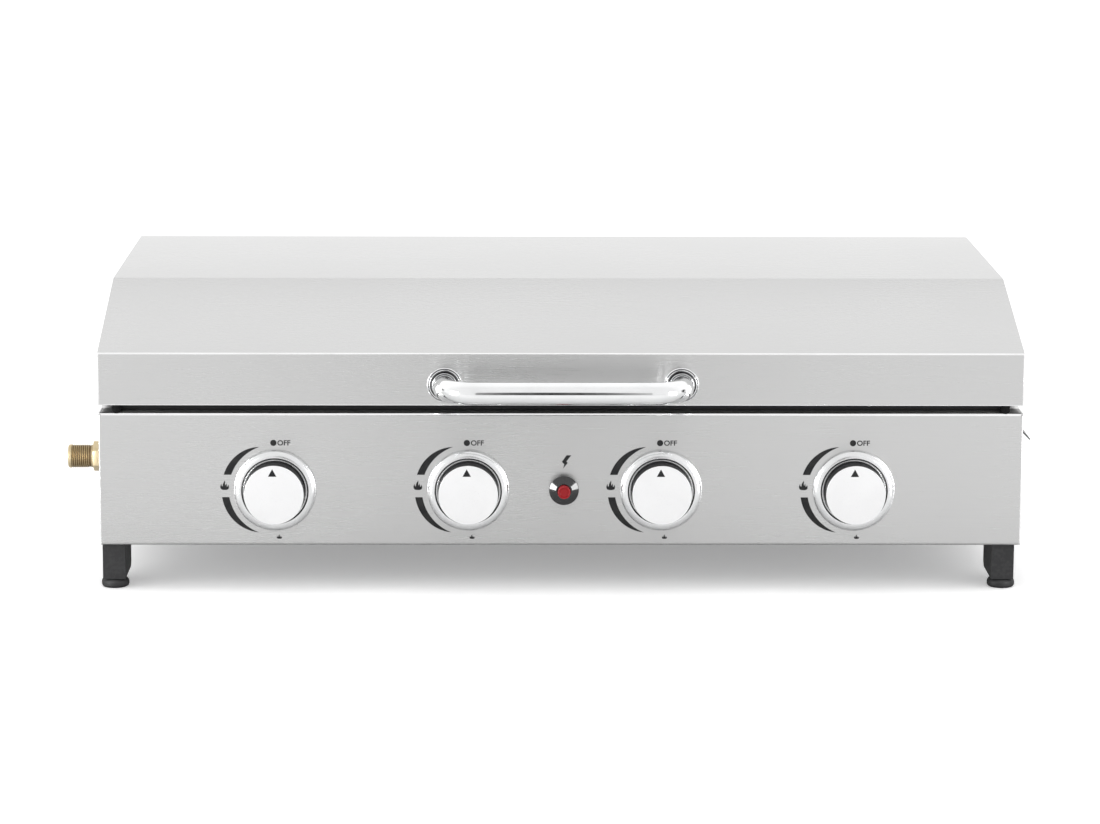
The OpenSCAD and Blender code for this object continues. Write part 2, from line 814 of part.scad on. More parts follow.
// Lid profile as depth and height, drawn inwards of the outside by the given thickness.
module lid_profile(inset, low) {
  slope = tan(slope_angle);
  drop = inset / cos(slope_angle);
  top = lid_top - inset;
  polygon([
    [inset, low], [inset, lip_top + inset * slope - drop],
    [(top - lip_top + drop) / slope, top], [lid_back - inset, top], [lid_back - inset, low]]);
}

// Bent sheet of the lid, from the front lip over the slope and the top to the rear wall.
module lid_shell() {
  color("silver") place() difference() {
    across(-half, half) lid_profile(0, lid_bottom);
    across(-half - cut, half + cut) lid_profile(sheet, lid_bottom - cut);
    block([-half - cut, lid_back - 2 * sheet, lid_bottom - cut], [half + cut, lid_back + cut, lid_rear_edge]);
    for (x = handle_x) bar_y(x, handle_z, -cut, sheet + cut, handle_screw + seat);
  }
}

// Flat end plate welded inside the bent sheet, drawn at the left.
module lid_end() {
  across(-half, -half + sheet) lid_profile(sheet, lid_bottom);
}

module lid_end_left() { color("silver") place() lid_end(); }
module lid_end_right() { color("silver") place() mirror([1, 0, 0]) lid_end(); }

// Stepped washer under one handle post.
module handle_rosette(index) {
  outer = rosette_diameter / 2;
  edge = rosette_edge;
  crown = rosette_height + rosette_step - edge;
  place() translate([handle_x[index], 0, handle_z]) rotate([90, 0, 0]) rotate_extrude() polygon([
    [handle_screw + seat, 0], [outer, 0], [outer, rosette_height - edge],
    [outer - edge, rosette_height], [outer - 2 * edge, rosette_height],
    [handle_radius + edge, crown], [handle_radius + fit, crown - edge / 2],
    [handle_radius + fit, rosette_height], [handle_screw + seat, rosette_height]]);
}

module handle_rosette_left() { color("lightgray") handle_rosette(0); }
module handle_rosette_right() { color("lightgray") handle_rosette(1); }

// One bent round bar with two posts that stand on the rosettes.
module handle_bar() {
  color("lightgray") place() difference() {
    union() {
      for (x = handle_x) bar_y(x, handle_z, handle_bend - handle_standoff, -rosette_height, handle_radius);
      bar_x(handle_x[0] + handle_bend, handle_x[1] - handle_bend, -handle_standoff, handle_z, handle_radius);
      for (side = [0, 1])
        translate([handle_shift, 0, handle_z]) mirror([side, 0, 0])
          translate([handle_span / 2 - handle_bend, handle_bend - handle_standoff, 0])
            rotate([0, 0, -90]) rotate_extrude(angle = 90) translate([handle_bend, 0]) circle(handle_radius);
    }
    for (x = handle_x)
      bar_y(x, handle_z, -rosette_height - handle_bore, -rosette_height + cut, handle_screw + seat);
  }
}

module handle_screws() {
  color("gray") place() for (x = handle_x) {
    bar_y(x, handle_z, -rosette_height - handle_bore + cut, sheet + cut, handle_screw);
    bar_y(x, handle_z, sheet, sheet + handle_nut_height, handle_nut);
  }
}

front_panel();
left_side_panel();
right_side_panel();
rear_panel();
base_pan();
leg_front_left();
leg_front_right();
leg_rear_left();
leg_rear_right();
foot_pad_front_left();
foot_pad_front_right();
foot_pad_rear_left();
foot_pad_rear_right();
knob_bezel_1();
knob_bezel_2();
knob_bezel_3();
knob_bezel_4();
manifold_pipe();
inlet_fitting();
gas_valve_1();
gas_valve_2();
gas_valve_3();
gas_valve_4();
burner_1();
burner_2();
burner_3();
burner_4();
burner_rail();
igniter_bezel();
spark_electrode();
tray_carrier();
hinge_bracket_left();
hinge_bracket_right();
hinge_pins();
lid_bumpers();
leg_screws();
lid_shell();
lid_end_left();
lid_end_right();
handle_bar();
handle_rosette_left();
handle_rosette_right();
handle_screws();
hinge_leaf_left();
hinge_leaf_right();
tap_plug_1();
tap_plug_2();
tap_plug_3();
tap_plug_4();
knob_1();
knob_2();
knob_3();
knob_4();
knob_face_1();
knob_face_2();
knob_face_3();
knob_face_4();
igniter_button();
grease_tray();
griddle_plate();
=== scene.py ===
"""Looks of a tabletop gas griddle: folded steel, chrome fittings, printed controls, enamelled plate."""

import json
import logging
import math
from dataclasses import dataclass
from enum import Enum

import bmesh
import bpy
from mathutils import Matrix, Vector

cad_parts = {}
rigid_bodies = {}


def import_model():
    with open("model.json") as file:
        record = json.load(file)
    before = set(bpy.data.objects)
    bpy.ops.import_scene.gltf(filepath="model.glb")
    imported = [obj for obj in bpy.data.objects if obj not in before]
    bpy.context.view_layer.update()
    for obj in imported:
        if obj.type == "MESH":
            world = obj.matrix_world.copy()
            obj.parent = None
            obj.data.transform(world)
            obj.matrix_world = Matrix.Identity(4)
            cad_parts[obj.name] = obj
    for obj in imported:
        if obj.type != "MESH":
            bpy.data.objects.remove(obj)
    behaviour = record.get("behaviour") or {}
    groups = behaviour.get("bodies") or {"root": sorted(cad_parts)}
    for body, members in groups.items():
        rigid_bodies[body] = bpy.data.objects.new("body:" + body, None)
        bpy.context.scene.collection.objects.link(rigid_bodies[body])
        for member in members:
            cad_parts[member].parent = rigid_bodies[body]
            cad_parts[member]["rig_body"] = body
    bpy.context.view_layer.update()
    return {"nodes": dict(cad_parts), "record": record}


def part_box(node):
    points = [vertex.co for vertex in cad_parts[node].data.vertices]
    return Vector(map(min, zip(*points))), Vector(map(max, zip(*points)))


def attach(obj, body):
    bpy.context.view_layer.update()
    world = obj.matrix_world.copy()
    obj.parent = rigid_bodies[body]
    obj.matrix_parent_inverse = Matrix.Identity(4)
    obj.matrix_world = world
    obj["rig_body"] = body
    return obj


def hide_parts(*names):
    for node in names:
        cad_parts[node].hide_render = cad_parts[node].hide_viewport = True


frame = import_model()

log = logging.getLogger("griddle")

Mesh = bmesh.types.BMesh
Edges = list[bmesh.types.BMEdge]
Socket = bpy.types.NodeSocket
Material = bpy.types.Material
Triple = tuple[float, float, float]
Profile = list[tuple[float, float]]
Value = Socket | Triple | float

MM = 0.001
MERGE = 1e-5
ROUND_STEPS = 64
FINE_STEPS = 96
QUARTER = math.pi / 2
KNOBS = range(1, 5)
PRINT_SLOT = "knob_black"
WHITE = (1.0, 1.0, 1.0)
FRONT = Vector((0.0, -1.0, 0.0))
LEFT = Vector((-1.0, 0.0, 0.0))
UP = Vector((0.0, 0.0, 1.0))


class Grain(Enum):
    """How a sheet was brushed: the stretch of its grain pattern, and the way across its lines."""

    ALONG_X = ((1.0, 60.0, 60.0), (0.0, 0.05, 1.0))
    ALONG_Y = ((60.0, 1.0, 60.0), (0.05, 0.0, 1.0))


def grey(level: float) -> Triple:
    """Returns a neutral colour."""
    return (level, level, level)


def scaled(color: Triple, factor: float, lift: float = 0.0) -> Triple:
    """Returns a colour made darker or lighter, at most white."""
    return tuple(min(1.0, channel * factor + lift) for channel in color)


# Shader trees


class Tree:
    """A thin writer for one shader node tree."""

    def __init__(self, tree: bpy.types.NodeTree) -> None:
        """Keeps the tree that the nodes go into."""
        self.tree = tree

    def fill(self, socket: Socket, value: Value) -> None:
        """Links an output to an input, or sets the input to a number, a vector or a colour.

        Args:
            socket: The input.
            value: What goes into it.
        """
        if isinstance(value, Socket):
            self.tree.links.new(value, socket)
        else:
            socket.default_value = (*value, 1.0) if socket.type == "RGBA" else value

    def add(self, kind: str, **values: object) -> bpy.types.Node:
        """Adds a node and sets its properties and inputs.

        Args:
            kind: The node's type name without its ShaderNode prefix.
            values: Property names, or input names with underscores for spaces.

        Returns:
            The new node.
        """
        node = self.tree.nodes.new(kind if kind.startswith("Node") else f"ShaderNode{kind}")
        for name, value in values.items():
            if hasattr(node, name):
                setattr(node, name, value)
            else:
                self.fill(node.inputs[name.replace("_", " ")], value)
        return node

    def math(self, operation: str, first: Value, second: Value = 0.0, clamp: bool = False) -> Socket:
        """Adds a math node.

        Args:
            operation: The operation's name.
            first: Its first value.
            second: Its second value.
            clamp: Whether the result is kept between 0 and 1.

        Returns:
            The result.
        """
        node = self.add("Math", operation=operation, use_clamp=clamp)
        self.fill(node.inputs[0], first)
        self.fill(node.inputs[1], second)
        return node.outputs[0]

    def vector(self, operation: str, first: Socket, second: Socket | Triple) -> Socket:
        """Adds a vector math node.

        Args:
            operation: The operation's name.
            first: Its first vector.
            second: Its second vector.

        Returns:
            The result, a number for a dot product and otherwise a vector.
        """
        node = self.add("VectorMath", operation=operation)
        self.fill(node.inputs[0], first)
        self.fill(node.inputs[1], second)
        return node.outputs["Value" if operation == "DOT_PRODUCT" else "Vector"]

    def spread(
        self, value: Socket, low: float, high: float, to_low: float = 0.0, to_high: float = 1.0
    ) -> Socket:
        """Maps a value from one range to another and clamps it.

        Args:
            value: The value to map.
            low: Where the source range starts.
            high: Where the source range ends.
            to_low: The result at the start.
            to_high: The result at the end.

        Returns:
            The mapped value.
        """
        ends = {"From_Min": low, "From_Max": high, "To_Min": to_low, "To_Max": to_high}
        return self.add("MapRange", Value=value, **ends).outputs["Result"]

    def noise(
        self,
        vector: Socket,
        scale: Value,
        detail: float = 3.0,
        roughness: float = 0.5,
        distortion: float = 0.0,
    ) -> Socket:
        """Adds a noise texture.

        Args:
            vector: The coordinates that it reads.
            scale: Its scale, per metre.
            detail: How many finer layers it adds.
            roughness: How strong the finer layers are.
            distortion: How far its clouds are pulled about.

        Returns:
            The noise value.
        """
        look = {"Detail": detail, "Roughness": roughness, "Distortion": distortion}
        return self.add("TexNoise", Vector=vector, Scale=scale, **look).outputs["Fac"]

    def bulk(self, noise: Socket, low: float = 0.0, high: float = 1.0) -> Socket:
        """Returns a noise with the bulk of its values spread over a range."""
        return self.spread(noise, 0.3, 0.7, low, high)

    def blend(self, mask: Value, first: Value, second: Value) -> Socket:
        """Mixes two colours.

        Args:
            mask: 0 for the first colour and 1 for the second.
            first: The first colour.
            second: The second colour.

        Returns:
            The mixed colour.
        """
        node = self.add("Mix", data_type="RGBA")
        colors = [socket for socket in node.inputs if socket.type == "RGBA"]
        for socket, value in zip((node.inputs[0], *colors), (mask, first, second)):
            self.fill(socket, value)
        return next(socket for socket in node.outputs if socket.type == "RGBA")


class Group(Tree):
    """The node tree of one new shader group, which reads its coordinates from an input named Vector."""

    def __init__(self, name: str, values: dict[str, Value], outputs: tuple[str, ...]) -> None:
        """Creates the group with its sockets.

        Args:
            name: The group's name.
            values: Start values of its other inputs by name.
            outputs: Names of its outputs, all numbers.
        """
        super().__init__(bpy.data.node_groups.new(name, "ShaderNodeTree"))
        sockets = self.tree.interface
        sockets.new_socket("Vector", in_out="INPUT", socket_type="NodeSocketVector")
        for label, value in values.items():
            kind = "NodeSocketVector" if isinstance(value, tuple) else "NodeSocketFloat"
            sockets.new_socket(label, in_out="INPUT", socket_type=kind).default_value = value
        for label in outputs:
            sockets.new_socket(label, in_out="OUTPUT", socket_type="NodeSocketFloat")
        self.given = self.add("NodeGroupInput").outputs
        self.result = self.add("NodeGroupOutput").inputs


def make_brushing() -> bpy.types.NodeTree:
    """Makes the fine parallel lines of brushed sheet.

    Returns:
        The shader group.
    """
    group = Group("brushing", {"Stretch": (1.0, 60.0, 60.0), "Scale": 22.0}, ("Lines", "Bands"))
    stretched = group.vector("MULTIPLY", group.given["Vector"], group.given["Stretch"])
    for label, factor, detail in (("Lines", 1.0, 4.0), ("Bands", 0.16, 2.0)):
        scale = group.math("MULTIPLY", group.given["Scale"], factor)
        group.fill(group.result[label], group.noise(stretched, scale, detail, roughness=0.62))
    return group.tree


def make_smudges() -> bpy.types.NodeTree:
    """Makes the soft uneven film that handling leaves on a surface, and specks.

    Returns:
        The shader group.
    """
    group = Group("smudges", {"Scale": 14.0}, ("Film", "Specks"))
    place, scale = group.given["Vector"], group.given["Scale"]
    clouds = group.noise(place, scale, detail=4.0, roughness=0.58, distortion=0.6)
    group.fill(group.result["Film"], group.spread(clouds, 0.38, 0.68))
    dots = group.add("TexVoronoi", Vector=place, Scale=group.math("MULTIPLY", scale, 26.0))
    group.fill(group.result["Specks"], group.spread(dots.outputs["Distance"], 0.06, 0.16, 1.0, 0.0))
    return group.tree


def make_edge_wear() -> bpy.types.NodeTree:
    """Makes rubbed corners, broken up by noise.

    Returns:
        The shader group.
    """
    group = Group("edge wear", {"Amount": 0.5}, ("Worn",))
    raised = group.spread(group.add("NewGeometry").outputs["Pointiness"], 0.51, 0.60)
    broken = group.spread(group.noise(group.given["Vector"], 420.0, 4.0), 0.42, 0.62)
    worn = group.math("MULTIPLY", raised, broken)
    group.fill(group.result["Worn"], group.math("MULTIPLY", worn, group.given["Amount"], clamp=True))
    return group.tree


BRUSHING, SMUDGES, EDGE_WEAR = make_brushing(), make_smudges(), make_edge_wear()


class Sheet(Tree):
    """The node tree of one new material, with its shader and object coordinates ready."""

    def __init__(self, name: str) -> None:
        """Creates the material with a Principled shader."""
        self.material = bpy.data.materials.new(name)
        self.material.use_nodes = True
        super().__init__(self.material.node_tree)
        self.shader = self.tree.nodes["Principled BSDF"]
        self.place = self.add("TexCoord").outputs["Object"]

    def use(self, group: bpy.types.NodeTree, **values: Value) -> bpy.types.bpy_prop_collection:
        """Places a shared group with its own input values and returns its outputs."""
        return self.add("Group", node_tree=group, Vector=self.place, **values).outputs

    def film(self, scale: float) -> Socket:
        """Returns the film of handling at a scale."""
        return self.use(SMUDGES, Scale=scale)["Film"]

    def dulled(self, roughness: Value, film: Socket, haze: float) -> Socket:
        """Returns a roughness that is raised where the film lies."""
        return self.math("ADD", self.math("MULTIPLY", film, haze), roughness, clamp=True)

    def set(self, **values: Value) -> None:
        """Sets or links inputs of the shader, with underscores for spaces."""
        for name, value in values.items():
            self.fill(self.shader.inputs[name.replace("_", " ")], value)

    def bump(self, height: Socket, strength: float, depth: float) -> None:
        """Adds surface relief.

        Args:
            height: The relief's height.
            strength: How strong it is.
            depth: How deep it is, in millimetres.
        """
        node = self.add("Bump", Height=height, Strength=strength, Distance=depth * MM)
        self.set(Normal=node.outputs["Normal"])


# Finishes


@dataclass(frozen=True)
class Finish:
    """A named finish that turns itself into a material."""

    name: str

    def material(self) -> Material:
        """Returns a new material with this finish."""
        sheet = Sheet(self.name)
        self.paint(sheet)
        return sheet.material

    def paint(self, sheet: Sheet) -> None:
        """Lays the finish on a new material, in each finish's own way."""
        raise NotImplementedError


@dataclass(frozen=True)
class BrushedSteel(Finish):
    """Brushed stainless sheet with fine lines, slow bands and a trace of handling."""

    color: Triple = (0.625, 0.625, 0.623)
    roughness: float = 0.27
    grain: Grain = Grain.ALONG_X
    relief: float = 0.012
    contrast: float = 0.015
    smear: float = 0.85

    def paint(self, sheet: Sheet) -> None:
        """Adds the lines and bands, and smears highlights across the grain.

        Args:
            sheet: The new material.
        """
        stretch, across = self.grain.value
        brushing = sheet.use(BRUSHING, Stretch=stretch)
        lines = brushing["Lines"]
        dark, light = scaled(self.color, 1.0 - self.contrast), scaled(self.color, 1.0 + self.contrast)
        base = sheet.blend(sheet.bulk(lines), dark, light)
        base = sheet.blend(sheet.spread(brushing["Bands"], 0.35, 0.65, 0.0, 0.35), base, self.color)
        rough = sheet.math("ADD", sheet.bulk(lines, -0.015, 0.022), self.roughness)
        turned = sheet.add("VectorTransform", convert_from="OBJECT", convert_to="WORLD", Vector=across)
        sheet.set(
            Base_Color=base, Roughness=sheet.dulled(rough, sheet.film(5.0), 0.022), Metallic=1.0,
            Anisotropic=self.smear, Tangent=turned.outputs[0],
        )
        sheet.bump(lines, self.relief, depth=0.02)


@dataclass(frozen=True)
class Polished(Finish):
    """Polished or plated metal with a thin film that dulls it in places."""

    color: Triple
    roughness: float
    haze: float
    film_scale: float = 38.0

    def paint(self, sheet: Sheet) -> None:
        """Adds the film and a very fine relief.

        Args:
            sheet: The new material.
        """
        film = sheet.film(self.film_scale)
        sheet.set(
            Base_Color=sheet.blend(film, self.color, scaled(self.color, 0.94)),
            Roughness=sheet.dulled(self.roughness, film, self.haze),
            Metallic=1.0,
        )
        sheet.bump(sheet.noise(sheet.place, 900.0, 4.0), strength=0.03, depth=0.01)


@dataclass(frozen=True)
class ThreadedBrass(Finish):
    """Brass with painted shade at its thread's root. Millimetres, from the inlet's axis and its seat.
    """

    color: Triple = (0.62, 0.52, 0.34)
    deep: Triple = (0.52, 0.42, 0.25)
    # Colour of the painted shade in the thread's root.
    root_shade: Triple = (0.19, 0.13, 0.07)
    roughness: float = 0.42
    haze: float = 0.08
    root: float = 8.55
    crest: float = 9.2
    unshaded_tip: tuple[float, float] = (24.8, 24.5)

    def paint(self, sheet: Sheet) -> None:
        """Paints shade into the thread's root by the distance from the inlet's axis, but none at the
        plain tip.

        Args:
            sheet: The new material.
        """
        axis = middle("inlet_fitting")
        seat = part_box("left_side_panel")[0].x
        spot = sheet.add("SeparateXYZ", Vector=sheet.place).outputs
        across = sheet.math("SUBTRACT", spot["Y"], axis.y)
        above = sheet.math("SUBTRACT", spot["Z"], axis.z)
        squares = sheet.math("ADD", sheet.math("POWER", across, 2.0), sheet.math("POWER", above, 2.0))
        radius = sheet.math("SQRT", squares)
        # Painted shade: darker towards the thread's root, where shade falls in the groove.
        groove_shade = sheet.spread(radius, self.root * MM, self.crest * MM, 1.0, 0.0)
        behind_tip = sheet.spread(spot["X"], *(seat - reach * MM for reach in self.unshaded_tip))
        film = sheet.film(38.0)
        base = sheet.blend(film, self.color, self.deep)
        sheet.set(
            Base_Color=sheet.blend(sheet.math("MULTIPLY", groove_shade, behind_tip), base, self.root_shade),
            Roughness=sheet.dulled(self.roughness, film, self.haze),
            Metallic=1.0,
        )
        sheet.bump(sheet.noise(sheet.place, 900.0, 4.0), strength=0.03, depth=0.01)


@dataclass(frozen=True)
class Galvanised(Finish):
    """Zinc coated sheet with large pale crystals."""

    color: Triple = (0.56, 0.57, 0.58)

    def paint(self, sheet: Sheet) -> None:
        """Adds the crystals, each with its own tone.

        Args:
            sheet: The new material.
        """
        crystals = sheet.add("TexVoronoi", Vector=sheet.place, Scale=95.0).outputs
        level = sheet.add("SeparateColor", Color=crystals["Color"]).outputs[0]
        sheet.set(
            Base_Color=sheet.blend(level, scaled(self.color, 0.82), self.color),
            Roughness=sheet.spread(level, 0.0, 1.0, 0.32, 0.5),
            Metallic=0.95,
        )
        sheet.bump(crystals["Distance"], strength=0.08, depth=0.05)


@dataclass(frozen=True)
class HeatTinted(Finish):
    """Burner steel that has gone straw and blue where it runs hot."""

    tints: tuple[tuple[float, Triple], ...] = (
        (0.36, (0.56, 0.55, 0.53)), (0.48, (0.55, 0.44, 0.27)), (0.57, (0.42, 0.28, 0.30)),
        (0.66, (0.28, 0.30, 0.42)),
    )

    def paint(self, sheet: Sheet) -> None:
        """Adds the tints in slow clouds.

        Args:
            sheet: The new material.
        """
        tint = sheet.add("ValToRGB", Fac=sheet.noise(sheet.place, 16.0, 2.0))
        stops = tint.color_ramp.elements
        for stop, (position, color) in zip(stops, (self.tints[0], self.tints[-1])):
            stop.position, stop.color = position, (*color, 1.0)
        for position, color in self.tints[1:-1]:
            stops.new(position).color = (*color, 1.0)
        fine = sheet.noise(sheet.place, 700.0)
        rough = sheet.bulk(fine, 0.28, 0.44)
        sheet.set(Base_Color=tint.outputs["Color"], Roughness=rough, Metallic=1.0)
        sheet.bump(fine, strength=0.06, depth=0.02)


@dataclass(frozen=True)
class Coated(Finish):
    """Paint, enamel, plastic or rubber with a moulded skin and rubbed edges."""

    color: Triple
    roughness: float
    under: Triple
    skin_scale: float
    skin_depth: float
    wear: float = 0.3
    coat: float = 0.0
    specks: float = 0.0
    shine: float = 0.5

    def paint(self, sheet: Sheet) -> None:
        """Adds the skin, the film, the specks and the rubbed edges.

        Args:
            sheet: The new material.
        """
        smudges = sheet.use(SMUDGES, Scale=20.0)
        film = smudges["Film"]
        skin = sheet.noise(sheet.place, self.skin_scale)
        light = scaled(self.color, 1.35, 0.004)
        base = sheet.blend(sheet.math("MULTIPLY", film, 0.5), self.color, light)
        if self.specks:
            base = sheet.blend(sheet.math("MULTIPLY", smudges["Specks"], self.specks), base, grey(0.42))
        rough = sheet.math("ADD", sheet.bulk(skin, -0.05, 0.06), self.roughness)
        sheet.set(
            Base_Color=sheet.blend(sheet.use(EDGE_WEAR, Amount=self.wear)["Worn"], base, self.under),
            Roughness=sheet.dulled(rough, film, 0.07),
            Coat_Weight=self.coat, Coat_Roughness=0.08, Specular_IOR_Level=self.shine,
        )
        sheet.bump(skin, 0.35, self.skin_depth)


@dataclass(frozen=True)
class SatinDisc(Finish):
    """Pale satin metal of the knob faces."""

    color: Triple = (0.92, 0.92, 0.925)

    def paint(self, sheet: Sheet) -> None:
        """Adds the film and an uneven gloss.

        Args:
            sheet: The new material.
        """
        fine = sheet.noise(sheet.place, 1600.0, 2.0)
        sheet.set(
            Base_Color=sheet.blend(sheet.film(30.0), self.color, scaled(self.color, 0.965)),
            Roughness=sheet.bulk(fine, 0.27, 0.33),
            Metallic=0.12,
        )
        sheet.bump(fine, strength=0.05, depth=0.01)


@dataclass(frozen=True)
class Ink(Finish):
    """Screen printed ink, slightly uneven."""

    color: Triple = (0.014, 0.014, 0.016)

    def paint(self, sheet: Sheet) -> None:
        """Adds the uneven film.

        Args:
            sheet: The new material.
        """
        film = sheet.film(160.0)
        sheet.set(
            Base_Color=sheet.blend(film, self.color, grey(0.028)),
            Roughness=sheet.spread(film, 0.0, 1.0, 0.42, 0.6),
            Specular_IOR_Level=0.2,
        )
        sheet.bump(film, strength=0.1, depth=0.01)


class Finishes:
    """Every finish of the griddle: one for each slot of the record, and those of single pieces."""

    def __init__(self) -> None:
        """Builds every material."""
        self.slots = {part["node"]: part["material_slot"] for part in frame["record"]["subparts"]}
        # Dark chrome for the washers' grooves: painted shade.
        self.groove_shade = Polished("chrome_in_shade", (0.17, 0.17, 0.175), 0.2, 0.05).material()
        # Pale polished steel for folds that face forwards and up: a painted highlight.
        self.fold_highlight = Polished("painted_fold_highlight", grey(0.95), 0.16, 0.05).material()
        self.ink = Ink("black_print").material()
        self.by_slot = {slot: finish.material() for slot, finish in self.slot_finishes().items()}
        self.by_node = {}
        for finish, nodes in self.node_finishes().items():
            self.by_node.update(dict.fromkeys(nodes, finish.material()))

    def node_finishes(self) -> dict[Finish, tuple[str, ...]]:
        """Lists the finishes that differ from their slot's.

        Returns:
            The solid nodes that wear each finish.
        """
        return {
            Polished("satin_chrome_plate", (0.8, 0.805, 0.81), 0.21, 0.05): tuple(
                f"knob_bezel_{index}" for index in KNOBS
            ),
            Coated(
                "matt_black_plastic", (0.006, 0.006, 0.007), 0.5, grey(0.02), 700.0, 0.01,
                wear=0.1, shine=0.2,
            ): tuple(f"knob_{index}" for index in KNOBS),
            BrushedSteel("brushed_stainless_end", grain=Grain.ALONG_Y): (
                "left_side_panel", "right_side_panel", "lid_end_left", "lid_end_right",
            ),
            Coated(
                "matt_black_rubber", grey(0.006), 0.8, grey(0.02), 900.0, 0.02, wear=0.1, shine=0.1
            ): ("lid_bumpers",),
        }

    def slot_finishes(self) -> dict[str, Finish]:
        """Lists the finish of every slot.

        Returns:
            The finishes by slot.
        """
        return {
            "stainless": BrushedSteel("brushed_stainless"),
            "galvanised": Galvanised("zinc_sheet"),
            "burner_steel": HeatTinted("heated_burner_steel"),
            "tray_steel": BrushedSteel(
                "tray_sheet", (0.055, 0.055, 0.056), 0.4, Grain.ALONG_Y, relief=0.08
            ),
            "black_paint": Coated(
                "black_powder_coat", (0.017, 0.017, 0.0185), 0.5, grey(0.09), 2600.0, 0.008,
                wear=0.15, shine=0.38,
            ),
            "pad_rubber": Coated("black_rubber", (0.014, 0.014, 0.015), 0.62, grey(0.06), 2200.0, 0.03),
            "chrome": Polished("chrome_plate", (0.86, 0.865, 0.87), 0.1, 0.03),
            "brass": ThreadedBrass("yellow_brass"),
            "knob_black": Coated(
                "glossy_black_plastic", (0.01, 0.01, 0.011), 0.12, grey(0.05), 500.0, 0.003,
                wear=0.15, coat=0.5,
            ),
            "knob_satin": SatinDisc("satin_disc"),
            # Its edge wear, pale pink on the rim at a high amount, stands for the rim's highlight: a
            # painted highlight.
            "button_red": Coated(
                "red_plastic", (0.33, 0.005, 0.009), 0.32, (0.75, 0.16, 0.18), 500.0, 0.01,
                wear=0.8, shine=0.3,
            ),
            "electrode_ceramic": Coated(
                "glazed_ceramic", (0.83, 0.81, 0.76), 0.18, grey(0.7), 300.0, 0.01, wear=0.1, coat=0.5
            ),
            "enamel": Coated(
                "black_enamel", (0.007, 0.007, 0.008), 0.34, grey(0.05), 160.0, 0.02,
                wear=0.15, coat=0.1, specks=0.2, shine=0.25,
            ),
        }

    def of(self, node: str) -> Material:
        """Returns the material that a solid node wears."""
        return self.by_node.get(node, self.by_slot[self.slots[node]])


# Mesh helpers


def new_object(name: str, data: bpy.types.ID) -> bpy.types.Object:
    """Returns a new object in the scene."""
    made = bpy.data.objects.new(name, data)
    bpy.context.scene.collection.objects.link(made)
    return made


def new_data(name: str, mesh: Mesh, material: Material) -> bpy.types.Mesh:
    """Returns a mesh and its material as new data, and frees the mesh."""
    data = bpy.data.meshes.new(name)
    mesh.to_mesh(data)
    mesh.free()
    data.materials.append(material)
    return data


def new_piece(
    name: str,
    mesh: Mesh,
    node: str,
    finishes: Finishes,
    printed: bool = False,
    sharp: float = 40.0,
    outwards: bool = True,
) -> bpy.types.Object:
    """Turns a mesh into the piece that replaces a solid node, or into a print that the node carries.

    Args:
        name: The piece's name.
        mesh: Its mesh in the part's frame; it is freed here.
        node: The solid node.
        finishes: The set of materials.
        printed: Whether it is a print.
        sharp: Edges sharper than this many degrees stay crisp.
        outwards: Whether doubles are merged and normals turned outwards.

    Returns:
        The new object.
    """
    body = frame["nodes"][node]["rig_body"]
    slot, stands_for = (PRINT_SLOT, ()) if printed else (finishes.slots[node], (node,))
    if outwards:
        bmesh.ops.remove_doubles(mesh, verts=mesh.verts, dist=MERGE)
        bmesh.ops.recalc_face_normals(mesh, faces=mesh.faces)
    data = new_data(name, mesh, finishes.ink if printed else finishes.of(node))
    for face in data.polygons:
        face.use_smooth = True
    data.set_sharp_from_angle(angle=math.radians(sharp))
    piece = new_object(name, data)
    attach(piece, body)
    if stands_for:
        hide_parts(*stands_for)
    log.info("piece %s: %d faces", name, len(data.polygons))
    return piece


def middle(node: str) -> Vector:
    """Returns the middle of a solid node's box."""
    low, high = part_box(node)
    return (low + high) / 2


def on_panel(node: str) -> Vector:
    """Returns the point on the front panel's face under the middle of a node."""
    centre = middle(node)
    return Vector((centre.x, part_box("front_panel")[0].y, centre.z))


def revolve(profile: Profile, centre: Vector, axis: Vector, steps: int = ROUND_STEPS) -> Mesh:
    """Turns a profile a full circle about an axis.

    Args:
        profile: Radius and height along the axis for each point, in millimetres.
        centre: The origin of the profile.
        axis: The axis, towards growing height.
        steps: How many steps make the circle.

    Returns:
        The turned mesh.
    """
    mesh = bmesh.new()
    out = axis.orthogonal().normalized()
    spots = [centre + (out * radius + axis * height) * MM for radius, height in profile]
    points = [mesh.verts.new(spot) for spot in spots]
    edges = [mesh.edges.new(pair) for pair in zip(points, points[1:])]
    bmesh.ops.spin(
        mesh, geom=points + edges, cent=centre, axis=axis, angle=math.tau, steps=steps, use_merge=True
    )
    bmesh.ops.remove_doubles(mesh, verts=mesh.verts, dist=MERGE)
    return mesh


def rounded(profile: Profile, radii: dict[int, float], steps: int = 5) -> Profile:
    """Rounds chosen corners of an open profile.

    Args:
        profile: The corner points in millimetres.
        radii: Rounding length by corner index.
        steps: Points along each rounding.

    Returns:
        The profile with its corners rounded.
    """
    result = []
    for index, point in enumerate(profile):
        reach = radii.get(index)
        if not reach:
            result.append(point)
            continue
        here = Vector(point)
        before = here + (Vector(profile[index - 1]) - here).normalized() * reach
        after = here + (Vector(profile[index + 1]) - here).normalized() * reach
        for step in range(steps + 1):
            t = step / steps
            result.append(tuple(before.lerp(here, t).lerp(here.lerp(after, t), t)))
    return result


def bevel(
    mesh: Mesh, edges: Edges, width: float, steps: int, material: int = -1, clamp: bool = False
) -> None:
    """Rounds edges of a mesh.

    Args:
        mesh: The mesh.
        edges: Its edges to round.
        width: Rounding width in millimetres.
        steps: Faces across each rounding.
        material: Index of the roundings' material, or -1 for their neighbours'.
        clamp: Whether roundings stop where they would meet.
    """
    bmesh.ops.bevel(
        mesh, geom=edges, offset=width * MM, affect="EDGES", segments=steps, profile=0.5,
        material=material, clamp_overlap=clamp,
    )


# Carried-over solids


